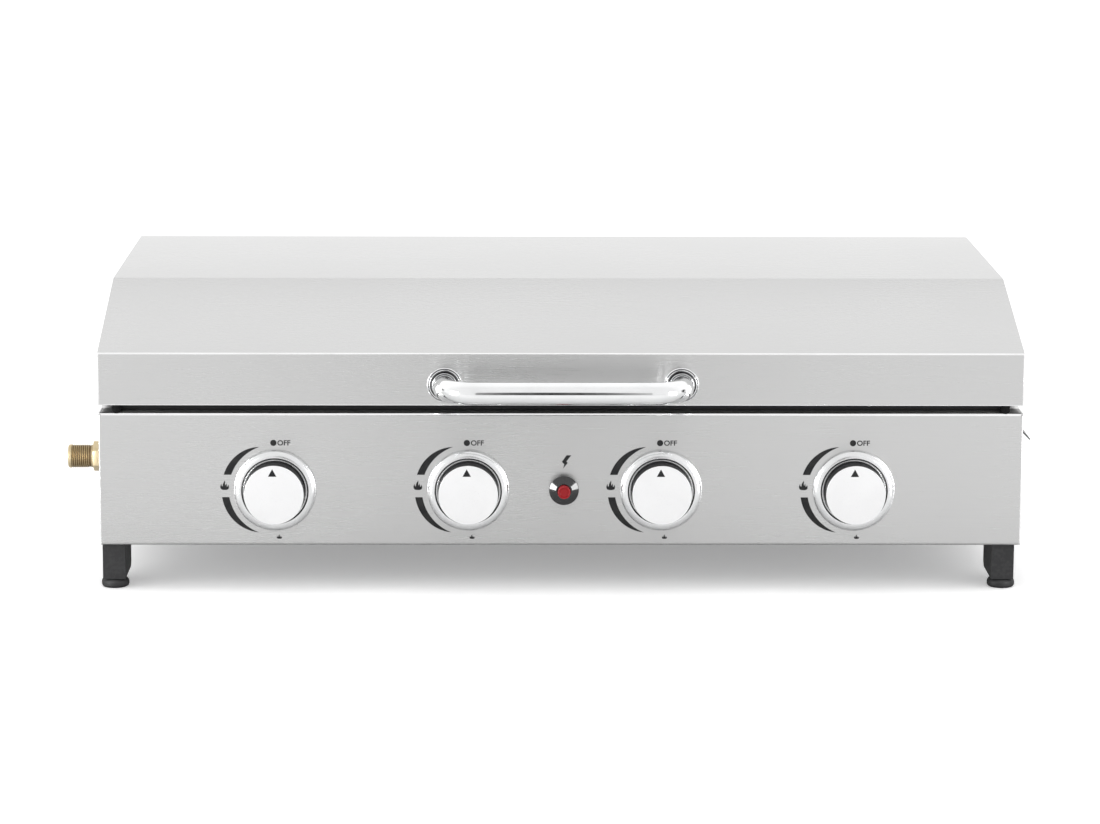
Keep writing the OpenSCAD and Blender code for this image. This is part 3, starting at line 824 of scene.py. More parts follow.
@dataclass(frozen=True)
class RoundedSolid:
    """One solid node shown as it is, but with its sharp edges rounded. Millimetres and degrees."""

    node: str
    width: float
    highlighted_folds: bool = False
    flat: float = 0.4
    sharp: float = 28.0
    fold_length: float = 40.0
    fold_width: float = 1.0
    fold_slope: float = 0.2
    front_depth: float = 0.05

    def build(self, finishes: Finishes) -> None:
        """Makes the piece.

        Args:
            finishes: The set of materials.
        """
        mesh = bmesh.new()
        mesh.from_mesh(frame["nodes"][self.node].data)
        bmesh.ops.remove_doubles(mesh, verts=mesh.verts, dist=MERGE)
        flat, bend = math.radians(self.flat), math.radians(self.sharp)
        bmesh.ops.dissolve_limit(mesh, angle_limit=flat, verts=mesh.verts, edges=mesh.edges)
        edges = [e for e in mesh.edges if len(e.link_faces) == 2 and e.calc_face_angle(0.0) > bend]
        low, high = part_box(self.node)
        if self.highlighted_folds:
            front, length = low.y + self.front_depth * MM, self.fold_length * MM
            edges = [e for e in edges if e.calc_length() > length]
            edges = [e for e in edges if all(v.co.y < front for v in e.verts)]
            bevel(mesh, edges, self.width, steps=4, material=1)
        else:
            bevel(mesh, edges, self.width, steps=3, clamp=True)
        for vert in mesh.verts:
            vert.co = [min(max(value, least), most) for value, least, most in zip(vert.co, low, high)]
        # Folds that face forwards and up get the painted highlight.
        if self.highlighted_folds:
            self.mark_fold_highlights(mesh)
        piece = new_piece(f"{self.node}_sheet", mesh, self.node, finishes, sharp=50.0, outwards=False)
        if self.highlighted_folds:
            piece.data.materials.append(finishes.fold_highlight)
        piece.modifiers.new("even normals", "WEIGHTED_NORMAL").keep_sharp = True

    def mark_fold_highlights(self, mesh: Mesh) -> None:
        """Gives the slender faces of rounded folds, which look forwards and up, the second material, a
        pale polished steel that is a painted highlight.

        Args:
            mesh: The piece's mesh.
        """
        mesh.normal_update()
        for face in mesh.faces:
            length, normal = max(e.calc_length() for e in face.edges), face.normal
            area = length * self.fold_width * MM
            slender = length > self.fold_length * MM and face.calc_area() < area
            if slender and normal.y < -self.fold_slope and normal.z > self.fold_slope:
                face.material_index = 1


@dataclass(frozen=True)
class Metalwork:
    """Panels, lid, legs, hinges, tray and plate, all taken over from the solids. In millimetres."""

    fold_edge: float = 0.9
    sheet_edge: float = 0.35
    heavy_edge: float = 0.7
    folded: tuple[str, ...] = ("front_panel", "lid_shell")
    sheets: tuple[str, ...] = (
        "left_side_panel", "right_side_panel", "rear_panel", "base_pan", "lid_end_left",
        "lid_end_right", "tray_carrier", "grease_tray", "burner_rail",
    )
    heavy: tuple[str, ...] = (
        "griddle_plate", "leg_front_left", "leg_front_right", "leg_rear_left", "leg_rear_right",
        "lid_bumpers", "hinge_bracket_left", "hinge_bracket_right", "hinge_leaf_left",
        "hinge_leaf_right", "hinge_pins", "leg_screws", "handle_screws",
    )

    def build(self, finishes: Finishes) -> None:
        """Makes every piece.

        Args:
            finishes: The set of materials.
        """
        for node in self.folded:
            RoundedSolid(node, self.fold_edge, highlighted_folds=True).build(finishes)
        for width, nodes in ((self.sheet_edge, self.sheets), (self.heavy_edge, self.heavy)):
            for node in nodes:
                RoundedSolid(node, width).build(finishes)


@dataclass(frozen=True)
class InnerWorks:
    """Gas train under the plate, shown as its solids with a finish of its own."""

    single: tuple[str, ...] = ("manifold_pipe", "spark_electrode")
    fourfold: tuple[str, ...] = ("gas_valve", "tap_plug", "burner")

    def dress(self, finishes: Finishes) -> None:
        """Gives every node its material.

        Args:
            finishes: The set of materials.
        """
        numbered = tuple(f"{name}_{index}" for name in self.fourfold for index in KNOBS)
        for node in self.single + numbered:
            data = frame["nodes"][node].data
            data.materials.clear()
            data.materials.append(finishes.of(node))
            log.info("solid %s dressed", node)


# Turned parts


@dataclass(frozen=True)
class KnobBezel:
    """Ring on the panel: inner bead, groove, and a crown that falls off outwards. Millimetres."""

    opening: float = 23.85
    bead: float = 0.85
    bead_top: float = 4.9
    bead_round: float = 0.4
    groove_floor: float = 4.35
    groove_width: float = 0.25
    groove_step: float = 0.1
    crown: float = 26.4
    outer: float = 32.2
    height: float = 5.95
    foot: float = 0.45
    foot_inset: float = 0.35
    seat: float = 0.05
    steps: int = 22

    def profile(self) -> Profile:
        """Works out the closed section.

        Returns:
            Its points as radius and height.
        """
        edge, floor, under = self.opening + self.bead, self.groove_floor, self.outer - self.foot_inset
        top = self.bead_top
        bead = [(self.opening, self.seat), (self.opening, top), (edge, top), (edge, floor)]
        bead = rounded(bead, {1: self.bead_round, 2: self.bead_round}, 6)
        turns = [QUARTER * count / self.steps for count in range(self.steps + 1)]
        step = floor + self.groove_step
        reach, rise = self.crown - edge - self.groove_width, self.height - step
        inside = [(self.crown - reach * math.cos(a), step + rise * math.sin(a)) for a in turns[:-1:3]]
        reach, rise = self.outer - self.crown, self.height - self.foot
        outside = [(self.crown + reach * math.sin(a), self.foot + rise * math.cos(a)) for a in turns]
        foot = [(under, self.foot - 0.1), (under, self.seat), (self.opening, self.seat)]
        return bead + [(edge + self.groove_width, floor)] + inside + outside + foot

    def build(self, index: int, finishes: Finishes) -> None:
        """Makes the ring of one knob.

        Args:
            index: The knob's number.
            finishes: The set of materials.
        """
        node = f"knob_bezel_{index}"
        mesh = revolve(self.profile(), on_panel(node), FRONT, FINE_STEPS)
        new_piece(f"knob_ring_{index}", mesh, node, finishes, sharp=50.0)


@dataclass(frozen=True)
class Knob:
    """Push-and-turn knob: black moulded body, satin face disc and printed pointer. In millimetres."""

    rear: float = 4.25
    rear_rim: float = 2.0
    rear_hollow: float = 1.0
    reach: float = 20.95
    skirt: float = 23.45
    front: float = 23.2
    face: float = 23.1
    face_edge: float = 0.35
    face_depth: float = 1.15
    face_dome: float = 0.12
    pointer_width: float = 6.5
    pointer_height: float = 5.9
    pointer_rise: float = 14.7
    pointer_left: float = 1.1
    pointer_sunk: float = 0.07

    def body_profile(self) -> Profile:
        """Returns the body's closed section."""
        floor, seat = self.rear + self.rear_hollow, self.reach - self.face_depth - 0.02
        rim = self.skirt - self.rear_rim
        corners = [
            (0.0, floor), (rim - 0.2, floor), (rim, self.rear), (self.skirt, self.rear),
            (self.front, seat), (0.0, seat),
        ]
        return rounded(corners, {3: 0.5, 4: 0.3})

    def face_profile(self) -> Profile:
        """Returns the disc's closed section, very slightly domed."""
        back, edge = self.reach - self.face_depth, self.reach - self.face_dome
        corners = [(0.0, back), (self.face, back), (self.face, edge), (0.0, self.reach)]
        return rounded(corners, {2: self.face_edge})

    def build(self, index: int, finishes: Finishes) -> None:
        """Makes the knob, its disc and its pointer.

        Args:
            index: The knob's number.
            finishes: The set of materials.
        """
        node = f"knob_{index}"
        at = on_panel(node)
        mesh = revolve(self.body_profile(), at, FRONT, FINE_STEPS)
        new_piece(f"knob_body_{index}", mesh, node, finishes)
        mesh = revolve(self.face_profile(), at, FRONT, FINE_STEPS)
        new_piece(f"knob_disc_{index}", mesh, f"knob_face_{index}", finishes)
        half, low, tip = self.pointer_width / 2, self.pointer_rise, -self.pointer_left
        corners = [(tip - half, low), (tip + half, low), (tip, low + self.pointer_height)]
        mark = Plaque(corners, lift=self.reach - self.pointer_sunk)
        mark.build(f"knob_pointer_{index}", at, node, finishes)


@dataclass(frozen=True)
class IgnitionButton:
    """Glossy cone with its barrel and the red button inside it. In millimetres."""

    outer: float = 11.55
    nose: float = 6.3
    bore: float = 5.15
    bore_edge: tuple[float, float] = (0.3, 0.4)
    cone_ends: tuple[float, float] = (0.06, 0.94)
    height: float = 8.95
    skirt: float = 5.4
    skirt_rim: float = 1.5
    seat: float = 0.03
    barrel: float = 7.9
    depth: float = 39.9
    chamber: float = 6.0
    button: float = 4.95
    button_depth: float = 11.0
    reach: float = 14.45
    dish: float = 3.3
    dish_rim: float = 3.8
    dish_depth: float = 1.0
    dish_rise: float = 0.05

    def cone(self, share: float) -> tuple[float, float]:
        """Returns a point of the cone, from its nose to its skirt."""
        radius = self.nose + (self.outer - self.nose) * share
        return radius, self.height + (self.skirt - self.height) * share

    def build(self, finishes: Finishes) -> None:
        """Makes the ring and the button.

        Args:
            finishes: The set of materials.
        """
        floor, end = -self.chamber, -self.depth
        across, down = self.bore_edge
        ring = [
            (self.bore, floor), (self.bore, self.height - down), (self.bore + across, self.height),
            (self.nose, self.height), *map(self.cone, self.cone_ends), (self.outer, self.skirt),
            (self.outer, self.skirt - self.skirt_rim), (self.outer, self.seat),
            (self.barrel, self.seat), (self.barrel, end), (0.0, end), (0.0, floor), (self.bore, floor),
        ]
        mesh = revolve(rounded(ring, {3: 0.2, 6: 0.25}), on_panel("igniter_bezel"), FRONT, FINE_STEPS)
        new_piece("ignition_ring", mesh, "igniter_bezel", finishes)
        low, back = self.reach - self.dish_depth, -self.button_depth
        push = [
            (0.0, low), (self.dish, low + self.dish_rise), (self.dish_rim, self.reach),
            (self.button, self.reach), (self.button, back), (0.0, back),
        ]
        mesh = revolve(rounded(push, {1: 0.2, 2: 0.15, 3: 0.6}), on_panel("igniter_button"), FRONT)
        new_piece("ignition_push", mesh, "igniter_button", finishes)


@dataclass(frozen=True)
class Handle:
    """Round bar bent to a bridge, standing on two stepped washers. In millimetres."""

    radius: float = 8.83
    standoff: float = 41.5
    bend: float = 25.0
    foot: float = 3.05
    ring_steps: int = 40
    bend_steps: int = 24
    washer_steps: int = 72
    washer: tuple[tuple[float, float], ...] = (
        (8.95, 0.05), (8.95, 3.4), (9.15, 5.9), (9.9, 6.2), (10.3, 1.6), (11.1, 1.5), (11.3, 3.5),
        (12.0, 3.4), (12.2, 1.7), (12.7, 1.7), (12.9, 2.7), (13.6, 1.9), (13.6, 0.05), (8.95, 0.05),
    )
    washer_rounds: tuple[tuple[int, float], ...] = (
        (2, 0.3), (3, 0.3), (6, 0.25), (7, 0.25), (10, 0.2), (11, 0.3),
    )
    grooves: tuple[tuple[float, float], ...] = ((9.8, 11.2), (12.15, 12.75))

    def build(self, finishes: Finishes) -> None:
        """Makes the washers and the bar.

        Args:
            finishes: The set of materials.
        """
        section = rounded(list(self.washer), dict(self.washer_rounds))
        for side in ("left", "right"):
            node = f"handle_rosette_{side}"
            at = on_panel(node)
            mesh = revolve(section, at, FRONT, self.washer_steps)
            # Faces in the grooves get the dark chrome, painted shade where the grooves lie in shadow.
            for face in mesh.faces:
                spot = (face.calc_center_median() - at) / MM
                radius = math.hypot(spot.x, spot.z)
                face.material_index = int(any(low < radius < high for low, high in self.grooves))
            washer = new_piece(f"handle_washer_{side}", mesh, node, finishes, sharp=50.0)
            washer.data.materials.append(finishes.groove_shade)
        new_piece("handle_tube", self.bar(), "handle_bar", finishes, sharp=50.0)

    def bar(self) -> Mesh:
        """Sweeps a ring out, across and back.

        Returns:
            The bar's mesh.
        """
        left, right = on_panel("handle_rosette_left"), on_panel("handle_rosette_right")
        bend, across = self.bend * MM, -LEFT
        out = FRONT * (self.standoff - self.bend - self.foot) * MM
        span = right.x - left.x - 2 * bend
        start = left + FRONT * self.foot * MM
        mesh = bmesh.new()
        turned = Matrix.Translation(start) @ Matrix.Rotation(QUARTER, 4, "X")
        made = bmesh.ops.create_circle(
            mesh, cap_ends=False, segments=self.ring_steps, radius=self.radius * MM, matrix=turned
        )
        first = list({e for v in made["verts"] for e in v.link_edges})
        ring = self.push(mesh, first, out)
        ring = self.turn(mesh, ring, start + out + across * bend)
        ring = self.push(mesh, ring, across * span)
        ring = self.turn(mesh, ring, start + out + across * (bend + span))
        last = self.push(mesh, ring, -out)
        bmesh.ops.holes_fill(mesh, edges=first + last)
        return mesh

    def push(self, mesh: Mesh, ring: Edges, move: Vector) -> Edges:
        """Extrudes a ring straight on.

        Args:
            mesh: The bar's mesh.
            ring: The edges of its open end.
            move: How far and where to.

        Returns:
            The edges of the new end.
        """
        grown = bmesh.ops.extrude_edge_only(mesh, edges=ring)["geom"]
        moved = [g for g in grown if isinstance(g, bmesh.types.BMVert)]
        bmesh.ops.translate(mesh, verts=moved, vec=move)
        return [g for g in grown if isinstance(g, bmesh.types.BMEdge)]

    def turn(self, mesh: Mesh, ring: Edges, centre: Vector) -> Edges:
        """Sweeps a ring through a quarter turn.

        Args:
            mesh: The bar's mesh.
            ring: The edges of its open end.
            centre: The middle of the bend.

        Returns:
            The edges of the new end.
        """
        swept = bmesh.ops.spin(
            mesh, geom=ring, cent=centre, axis=UP, angle=QUARTER, steps=self.bend_steps
        )
        return [g for g in swept["geom_last"] if isinstance(g, bmesh.types.BMEdge)]


@dataclass(frozen=True)
class GasInlet:
    """Brass inlet: hexagon, neck, threaded spigot with a plain tip, and the bore. In millimetres."""

    hex_flats: float = 20.95
    hex_length: float = 7.35
    hex_chamfer: float = 0.6
    reach: float = 26.95
    bore: float = 6.0
    sleeve: float = 6.9
    collar: float = 7.9
    collar_depth: float = 1.5
    neck: float = 9.0
    neck_length: float = 1.3
    tip_radius: float = 9.2
    nose: float = 8.6
    nose_length: float = 0.6
    chamfer: float = 0.5
    core: float = 8.5
    crest: float = 9.38
    tip: float = 2.6
    pitch: float = 1.6
    ridge: tuple[float, ...] = (0.0, 0.65, 0.8, 1.45)
    ridge_sunk: float = 0.15
    ridge_gap: float = 0.2
    turns: int = 9
    turn_steps: int = 40
    round_steps: int = 72

    def build(self, finishes: Finishes) -> None:
        """Makes the inlet.

        Args:
            finishes: The set of materials.
        """
        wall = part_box("left_side_panel")[0].x
        at = middle("inlet_fitting")
        at.x = wall
        back = 0.05 - (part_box("inlet_fitting")[1].x - wall) / MM
        shoulder, neck_end = self.reach - self.tip, self.hex_length + self.neck_length
        section = [
            (self.bore, back), (self.sleeve, back), (self.sleeve, -self.collar_depth),
            (self.collar, -self.collar_depth), (self.collar, self.hex_length - self.chamfer),
            (self.neck, self.hex_length + 0.02), (self.neck, neck_end),
            (self.core, neck_end + self.chamfer), (self.core, shoulder - 0.3),
            (self.tip_radius, shoulder), (self.tip_radius, self.reach - self.nose_length),
            (self.nose, self.reach), (self.bore + self.chamfer, self.reach),
            (self.bore, self.reach - self.chamfer), (self.bore, back),
        ]
        mesh = revolve(rounded(section, {10: 0.2, 11: 0.2}), at, LEFT, self.round_steps)
        self.hexagon(mesh, at)
        self.thread(mesh, at)
        new_piece("gas_inlet_thread", mesh, "inlet_fitting", finishes, sharp=35.0)

    def hexagon(self, mesh: Mesh, at: Vector) -> None:
        """Adds the hexagon with chamfered corners.

        Args:
            mesh: The inlet's mesh.
            at: The middle of its seat on the side panel.
        """
        turned = Matrix.Rotation(QUARTER, 4, "Y") @ Matrix.Rotation(QUARTER, 4, "Z")
        corner = self.hex_flats / math.sqrt(3) * MM
        made = bmesh.ops.create_cone(
            mesh, cap_ends=True, segments=6, radius1=corner, radius2=corner, depth=self.hex_length * MM,
            matrix=Matrix.Translation(at + LEFT * self.hex_length / 2 * MM) @ turned,
        )
        bevel(mesh, list({e for v in made["verts"] for e in v.link_edges}), self.hex_chamfer, steps=2)

    def thread(self, mesh: Mesh, at: Vector) -> None:
        """Winds one ridge round the spigot.

        Args:
            mesh: The inlet's mesh.
            at: The middle of its seat on the side panel.
        """
        start = self.reach - self.tip - self.ridge_gap - self.turns * self.pitch
        side, root = LEFT.orthogonal().normalized(), self.core - self.ridge_sunk
        section = zip((root, self.crest, self.crest, root), self.ridge)
        spots = [at + (side * radius + LEFT * (start + along)) * MM for radius, along in section]
        points = [mesh.verts.new(spot) for spot in spots]
        edges = [mesh.edges.new(pair) for pair in zip(points, points[1:] + points[:1])]
        bmesh.ops.contextual_create(mesh, geom=edges)
        climb = LEFT * self.pitch * MM / self.turn_steps
        bmesh.ops.spin(
            mesh, geom=points + edges, cent=at, axis=LEFT, dvec=climb, angle=math.tau * self.turns,
            steps=self.turns * self.turn_steps,
        )


@dataclass(frozen=True)
class FootPads:
    """Four black pads with a rounded shoulder and a stud in the leg. In millimetres."""

    radius: float = 10.85
    height: float = 7.45
    heel: tuple[float, float] = (1.4, 1.6)
    shoulder: tuple[float, float] = (2.2, 2.4)
    stud: float = 2.95
    stud_top: float = 11.45
    sole: float = 0.02

    def build(self, finishes: Finishes) -> None:
        """Makes the pads.

        Args:
            finishes: The set of materials.
        """
        inwards, down = self.shoulder
        corners = [
            (0.0, self.sole), (self.radius - self.heel[0], self.sole), (self.radius, self.heel[1]),
            (self.radius, self.height - down), (self.radius - inwards, self.height),
            (self.stud, self.height), (self.stud, self.stud_top), (0.0, self.stud_top),
        ]
        section = rounded(corners, {1: 0.9, 2: 0.9, 3: 1.4, 4: 1.3, 6: 0.4})
        for place in ("front_left", "front_right", "rear_left", "rear_right"):
            node = f"foot_pad_{place}"
            at = middle(node)
            at.z = 0.0
            new_piece(f"foot_cap_{place}", revolve(section, at, UP), node, finishes)


# Printed marks


@dataclass(frozen=True)
class Plaque:
    """A thin printed shape, its outline as millimetres right of and above a point on the panel."""

    outline: Profile
    lift: float = 0.05
    thickness: float = 0.04

    def grow(self, mesh: Mesh, at: Vector) -> None:
        """Adds the shape to a mesh.

        Args:
            mesh: The mesh that it is added to.
            at: The point on the panel.
        """
        base = self.lift - self.thickness
        points = [mesh.verts.new(at + Vector((x * MM, -base * MM, z * MM))) for x, z in self.outline]
        grown = bmesh.ops.extrude_face_region(mesh, geom=[mesh.faces.new(points)])["geom"]
        moved = [g for g in grown if isinstance(g, bmesh.types.BMVert)]
        bmesh.ops.translate(mesh, verts=moved, vec=FRONT * self.thickness * MM)

    def build(self, name: str, at: Vector, carrier: str, finishes: Finishes) -> None:
        """Makes the shape as a piece of its own.

        Args:
            name: The piece's name.
            at: The point on the panel.
            carrier: The solid node that carries it.
            finishes: The set of materials.
        """
        mesh = bmesh.new()
        self.grow(mesh, at)
        new_piece(name, mesh, carrier, finishes, printed=True)


@dataclass(frozen=True)
class TaperedArc:
    """Printed arc that swells from a fine tip to a level cut. Degrees left of the top, millimetres."""

    tip: float
    cut: float
    inner: float = 36.2
    swell: float = 5.6
    steps: int = 28

    def outline(self) -> Profile:
        """Works out the arc's outline.

        Returns:
            Its points, along the inner rim and back along the outer one.
        """
        rims = []
        for reach in (0.0, self.swell):
            end = math.degrees(math.acos(self.cut / (self.inner + reach)))
            rim = []
            for step in range(self.steps + 1):
                t = step / self.steps
                radius = self.inner + reach * (1.0 - (1.0 - t) ** 2)
                angle = math.radians(self.tip + (end - self.tip) * t)
                rim.append((-radius * math.sin(angle), radius * math.cos(angle)))
            rims.append(rim)
        inside, outside = rims
        return inside[1:] + outside[:0:-1] + [inside[0]]


FLAME_OUTLINE = (
    (-0.18, 0.0), (-0.36, 0.05), (-0.48, 0.18), (-0.5, 0.34), (-0.44, 0.52), (-0.34, 0.66),
    (-0.35, 0.48), (-0.28, 0.38), (-0.22, 0.36), (-0.21, 0.54), (-0.13, 0.74), (-0.02, 0.88),
    (0.02, 1.0), (0.08, 0.82), (0.05, 0.66), (0.09, 0.46), (0.15, 0.52), (0.19, 0.7), (0.26, 0.54),
    (0.26, 0.36), (0.31, 0.33), (0.37, 0.42), (0.42, 0.56), (0.49, 0.38), (0.5, 0.2), (0.42, 0.07),
    (0.2, 0.0),
)


@dataclass(frozen=True)
class Flame:
    """Printed flame of four tongues, its middle right of and above the knob's. In millimetres."""

    width: float
    height: float
    right: float
    above: float

    def outline(self) -> Profile:
        """Returns the flame's outline."""
        low = self.above - self.height / 2
        return [(self.right + x * self.width, low + z * self.height) for x, z in FLAME_OUTLINE]


@dataclass(frozen=True)
class PanelPrint:
    """Marks printed on the front panel round each knob and above the ignition button. Millimetres."""

    dot_right: float = -1.1
    dot_above: float = 37.4
    dot_radius: float = 2.45
    dot_steps: int = 32
    word_left: float = 2.0
    word_width: float = 10.1
    word_height: float = 4.2
    word_thickness: float = 0.02
    word_lift: float = 0.03
    word_weight: float = 0.022
    arcs: tuple[TaperedArc, ...] = (TaperedArc(19.0, 12.1), TaperedArc(158.5, -5.7))
    flames: tuple[Flame, ...] = (Flame(6.8, 7.7, -39.4, 3.9), Flame(4.0, 3.6, 2.9, -37.1))
    bolt: tuple[tuple[float, float], ...] = (
        (2.0, 27.0), (5.7, 27.0), (1.9, 22.1), (2.9, 20.9), (-0.6, 16.4), (0.2, 20.0), (-1.6, 21.8),
    )

    def build(self, finishes: Finishes) -> None:
        """Makes the print of every knob, and the bolt.

        Args:
            finishes: The set of materials.
        """
        for index in KNOBS:
            self.knob_print(index, finishes)
        at = on_panel("igniter_bezel")
        Plaque(list(self.bolt)).build("print_bolt", at, "front_panel", finishes)

    def knob_print(self, index: int, finishes: Finishes) -> None:
        """Makes the print round one knob.

        Args:
            index: The knob's number.
            finishes: The set of materials.
        """
        at = on_panel(f"knob_bezel_{index}")
        angles = [math.tau * step / self.dot_steps for step in range(self.dot_steps)]
        right, above, radius = self.dot_right, self.dot_above, self.dot_radius
        dot = [(right + radius * math.cos(a), above + radius * math.sin(a)) for a in angles]
        mesh = bmesh.new()
        for outline in (*(mark.outline() for mark in self.arcs + self.flames), dot):
            Plaque(outline).grow(mesh, at)
        new_piece(f"print_scale_{index}", mesh, "front_panel", finishes, printed=True, outwards=False)
        word = f"print_word_{index}"
        new_piece(word, self.word(word, at), "front_panel", finishes, printed=True)

    def word(self, name: str, at: Vector) -> Mesh:
        """Makes the word OFF beside the dot.

        Args:
            name: The piece's name.
            at: The point under the knob's middle on the panel.

        Returns:
            The word's mesh in its place.
        """
        text = bpy.data.curves.new(name, "FONT")
        text.body = "OFF"
        text.extrude = self.word_thickness
        text.offset = self.word_weight
        holder = new_object(f"{name}_text", text)
        bpy.context.view_layer.update()
        flat = bpy.data.meshes.new_from_object(holder)
        bpy.data.objects.remove(holder)
        mesh = bmesh.new()
        mesh.from_mesh(flat)
        bpy.data.meshes.remove(flat)
        low, high = (
            Vector([pick(v.co[way] for v in mesh.verts) for way in range(3)]) for pick in (min, max)
        )
        wanted = (self.word_width, self.word_height, self.word_thickness)
        reach = (high.x - low.x, high.y - low.y, high.z)
        size = [length * MM / now for length, now in zip(wanted, reach)]
        bottom = self.dot_above - self.word_height / 2
        corner = at + Vector((self.word_left, -self.word_lift, bottom)) * MM
        upright = Matrix.Translation(corner) @ Matrix.Rotation(QUARTER, 4, "X")
        fitted = Matrix.Diagonal((*size, 1.0)) @ Matrix.Translation((-low.x, -low.y, 0.0))
        bmesh.ops.transform(mesh, matrix=upright @ fitted, verts=mesh.verts)
        return mesh


# Studio


def flat_sheet(name: str, matrix: Matrix, material: Material) -> bpy.types.Object:
    """Makes a flat rectangle of the studio.

    Args:
        name: Its name.
        matrix: What turns a unit square into it.
        material: Its material.

    Returns:
        The new object.
    """
    mesh = bmesh.new()
    bmesh.ops.create_grid(mesh, x_segments=1, y_segments=1, size=0.5, matrix=matrix)
    return new_object(name, new_data(name, mesh, material))


@dataclass(frozen=True)
class Softbox:
    """One area light aimed at the griddle, which lights it or only shows in metal. Metres, watts."""

    name: str
    place: Triple
    size: tuple[float, float]
    power: float
    aim: Triple = (0.0, 0.0, 0.1)
    mirrored: bool = False

    def build(self) -> None:
        """Makes the light."""
        data = bpy.data.lights.new(self.name, "AREA")
        data.shape = "RECTANGLE"
        data.size, data.size_y = self.size
        data.energy = self.power
        lamp = new_object(self.name, data)
        lamp.location = self.place
        way = Vector(self.aim) - Vector(self.place)
        lamp.rotation_euler = way.to_track_quat("-Z", "Y").to_euler()
        lamp.visible_glossy = self.mirrored
        lamp.visible_diffuse = not self.mirrored
        lamp.visible_camera = False


@dataclass(frozen=True)
class Screen:
    """An upright dark screen that only metal mirrors, soft towards its rim. Metres and radians."""

    name: str
    place: Triple
    size: tuple[float, float]
    heading: float
    core: float = 0.5

    def cloth(self) -> Material:
        """Makes its material, black in the middle and as bright as the room at the rim of an ellipse.

        Returns:
            The material.
        """
        sheet = Sheet(f"{self.name}_cloth")
        spot = sheet.vector("SUBTRACT", sheet.place, self.place)
        squares = []
        for way, length in zip(((math.cos(self.heading), math.sin(self.heading), 0.0), UP), self.size):
            share = sheet.vector("DOT_PRODUCT", spot, tuple(2 * c / length for c in way))
            squares.append(sheet.math("MULTIPLY", share, share))
        rim = sheet.spread(sheet.math("SQRT", sheet.math("ADD", *squares)), self.core, 1.0)
        sheet.set(Base_Color=grey(0.01), Roughness=0.9, Specular_IOR_Level=0.0)
        sheet.set(Emission_Color=WHITE, Emission_Strength=rim)
        return sheet.material

    def build(self) -> None:
        """Makes the screen."""
        turned = Matrix.Rotation(self.heading, 4, "Z") @ Matrix.Rotation(QUARTER, 4, "X")
        upright = Matrix.Translation(self.place) @ turned @ Matrix.Diagonal((*self.size, 1.0, 1.0))
        screen = flat_sheet(self.name, upright, self.cloth())
        screen.visible_diffuse = screen.visible_shadow = screen.visible_camera = False


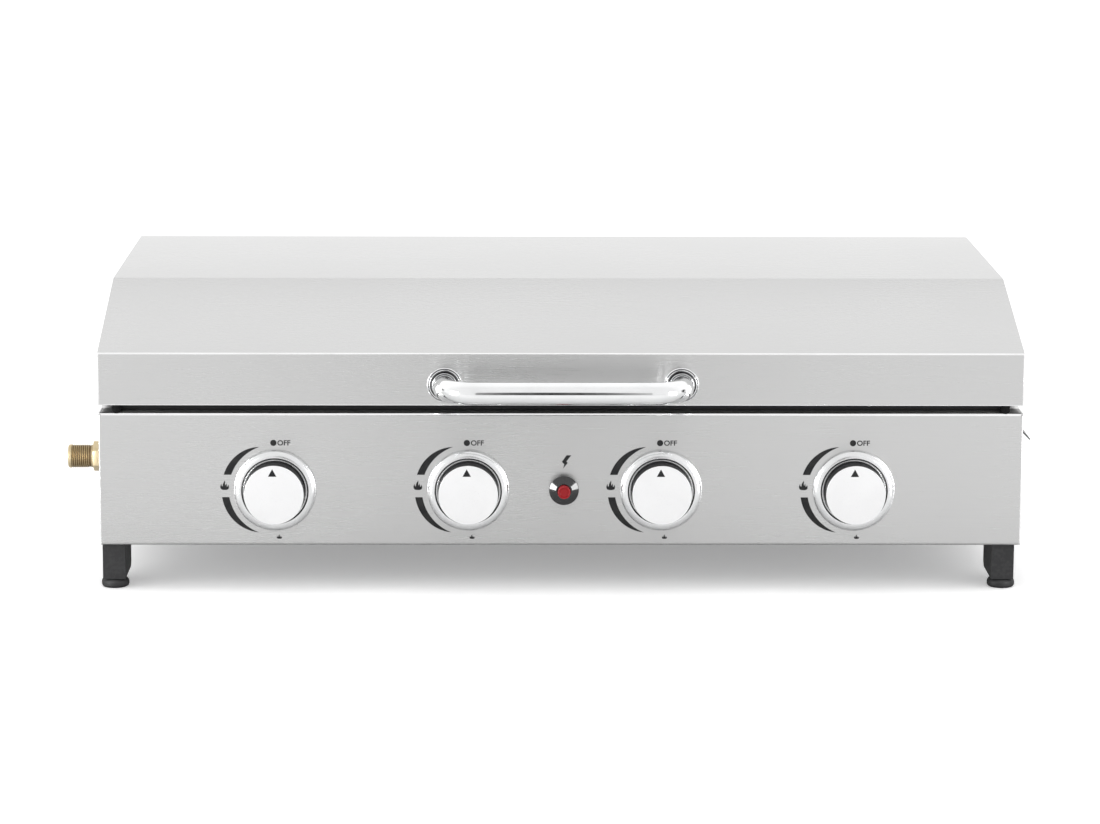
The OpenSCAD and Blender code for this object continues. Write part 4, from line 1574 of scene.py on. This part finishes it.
@dataclass(frozen=True)
class Studio:
    """Pale floor, soft lights, white surroundings and the camera. Metres and radians."""

    lens: float = 126.5
    sensor: float = 36.0
    eye: Triple = (-0.04475, -3.13083, 0.6843)
    pitch: float = 0.18133
    yaw: float = 0.01478
    roll: float = 0.00345
    floor_size: float = 30.0
    floor_seen: float = 0.96
    floor_mirrored: float = 0.9
    floor_front_shade: float = 0.16
    floor_glow: float = 0.3
    fill: float = 1.05
    screens: tuple[Screen, ...] = (
        Screen("camera_screen", (0.03, -3.3, 0.72), (0.7, 2.2), 0.0),
        Screen("right_screen", (1.9, 0.05, 0.38), (0.68, 0.75), QUARTER),
        Screen("left_screen", (-1.9, 0.25, 0.38), (0.54, 0.75), QUARTER),
    )
    boxes: tuple[Softbox, ...] = (
        Softbox("overhead", (0.0, 0.2, 2.6), (3.4, 2.6), 14.0),
        Softbox("key_left", (-2.6, -2.2, 1.9), (1.8, 1.8), 10.0),
        Softbox("card_left", (-0.89, -0.66, 0.23), (0.3, 0.45), 8.5, (0.0, -0.2, 0.09), mirrored=True),
        Softbox("card_right", (0.89, -0.66, 0.23), (0.3, 0.45), 5.0, (0.0, -0.2, 0.09), mirrored=True),
    )

    def build(self) -> None:
        """Sets up the whole studio."""
        self.surroundings()
        self.floor()
        for piece in (*self.screens, *self.boxes):
            piece.build()
        data = bpy.data.cameras.new("photo_camera")
        data.sensor_width, data.lens = self.sensor, self.lens
        data.clip_start, data.clip_end = 0.1, 100.0
        camera = new_object("photo_camera", data)
        camera.location = self.eye
        turned = Matrix.Rotation(-self.yaw, 3, "Z") @ Matrix.Rotation(QUARTER - self.pitch, 3, "X")
        camera.rotation_euler = (turned @ Matrix.Rotation(self.roll, 3, "Z")).to_euler()
        bpy.context.scene.camera = camera
        bpy.context.scene.view_settings.view_transform = "Standard"

    def surroundings(self) -> None:
        """Makes the world: white where it is seen, brighter behind where metal mirrors it."""
        world = bpy.data.worlds.new("studio_world")
        world.use_nodes = True
        tree = Tree(world.node_tree)
        world.node_tree.nodes.clear()
        ray = tree.add("LightPath").outputs
        way = tree.add("SeparateXYZ", Vector=tree.add("TexCoord").outputs["Generated"]).outputs
        rise = tree.spread(way["Z"], 0.1, 0.7, 0.32, 0.17)
        behind = tree.spread(way["Y"], -0.3, 0.2)
        mirrored = tree.math("ADD", tree.math("MULTIPLY", rise, behind), 1.0 - self.fill)
        seen = tree.math("ADD", ray["Is Camera Ray"], ray["Is Transmission Ray"], clamp=True)
        level = tree.math("MULTIPLY", seen, 1.0 - self.fill)
        level = tree.math("ADD", level, tree.math("MULTIPLY", ray["Is Glossy Ray"], mirrored))
        white = tree.add("Background", Color=WHITE, Strength=tree.math("ADD", level, self.fill))
        tree.add("OutputWorld", Surface=white.outputs[0])
        bpy.context.scene.world = world

    def floor(self) -> None:
        """Makes the floor, a shade darker where it is mirrored, with painted shade near the griddle's
        front where metal mirrors it.
        """
        sheet = Sheet("pale_floor")
        seen = sheet.add("LightPath").outputs["Is Camera Ray"]
        grain = sheet.bulk(sheet.noise(sheet.place, 3.0, 2.0), 0.985, 1.0)
        ahead = sheet.add("SeparateXYZ", Vector=sheet.place).outputs["Y"]
        # Painted shade: the floor is darker in reflections near the griddle's front, as if the body
        # shaded it.
        near = sheet.spread(ahead, -0.55, -0.25, 0.0, self.floor_front_shade)
        shaded = sheet.math("MULTIPLY", near, sheet.math("SUBTRACT", 1.0, seen))
        tone = sheet.spread(seen, 0.0, 1.0, self.floor_mirrored, self.floor_seen)
        level = sheet.math("MULTIPLY", sheet.math("SUBTRACT", tone, shaded), grain)
        sheet.set(
            Base_Color=sheet.add("CombineColor", Red=level, Green=level, Blue=level).outputs[0],
            Emission_Strength=sheet.math("MULTIPLY", seen, self.floor_glow),
            Roughness=0.9, Specular_IOR_Level=0.0, Emission_Color=WHITE,
        )
        floor = flat_sheet("studio_floor", Matrix.Scale(self.floor_size, 4), sheet.material)


def main() -> None:
    """Builds and dresses every piece, then the studio."""
    logging.basicConfig(level=logging.INFO, format="%(name)s: %(message)s")
    finishes = Finishes()
    Metalwork().build(finishes)
    InnerWorks().dress(finishes)
    for index in KNOBS:
        KnobBezel().build(index, finishes)
        Knob().build(index, finishes)
    for part in (IgnitionButton(), Handle(), GasInlet(), FootPads(), PanelPrint()):
        part.build(finishes)
    Studio().build()


if __name__ == "__main__":
    main()
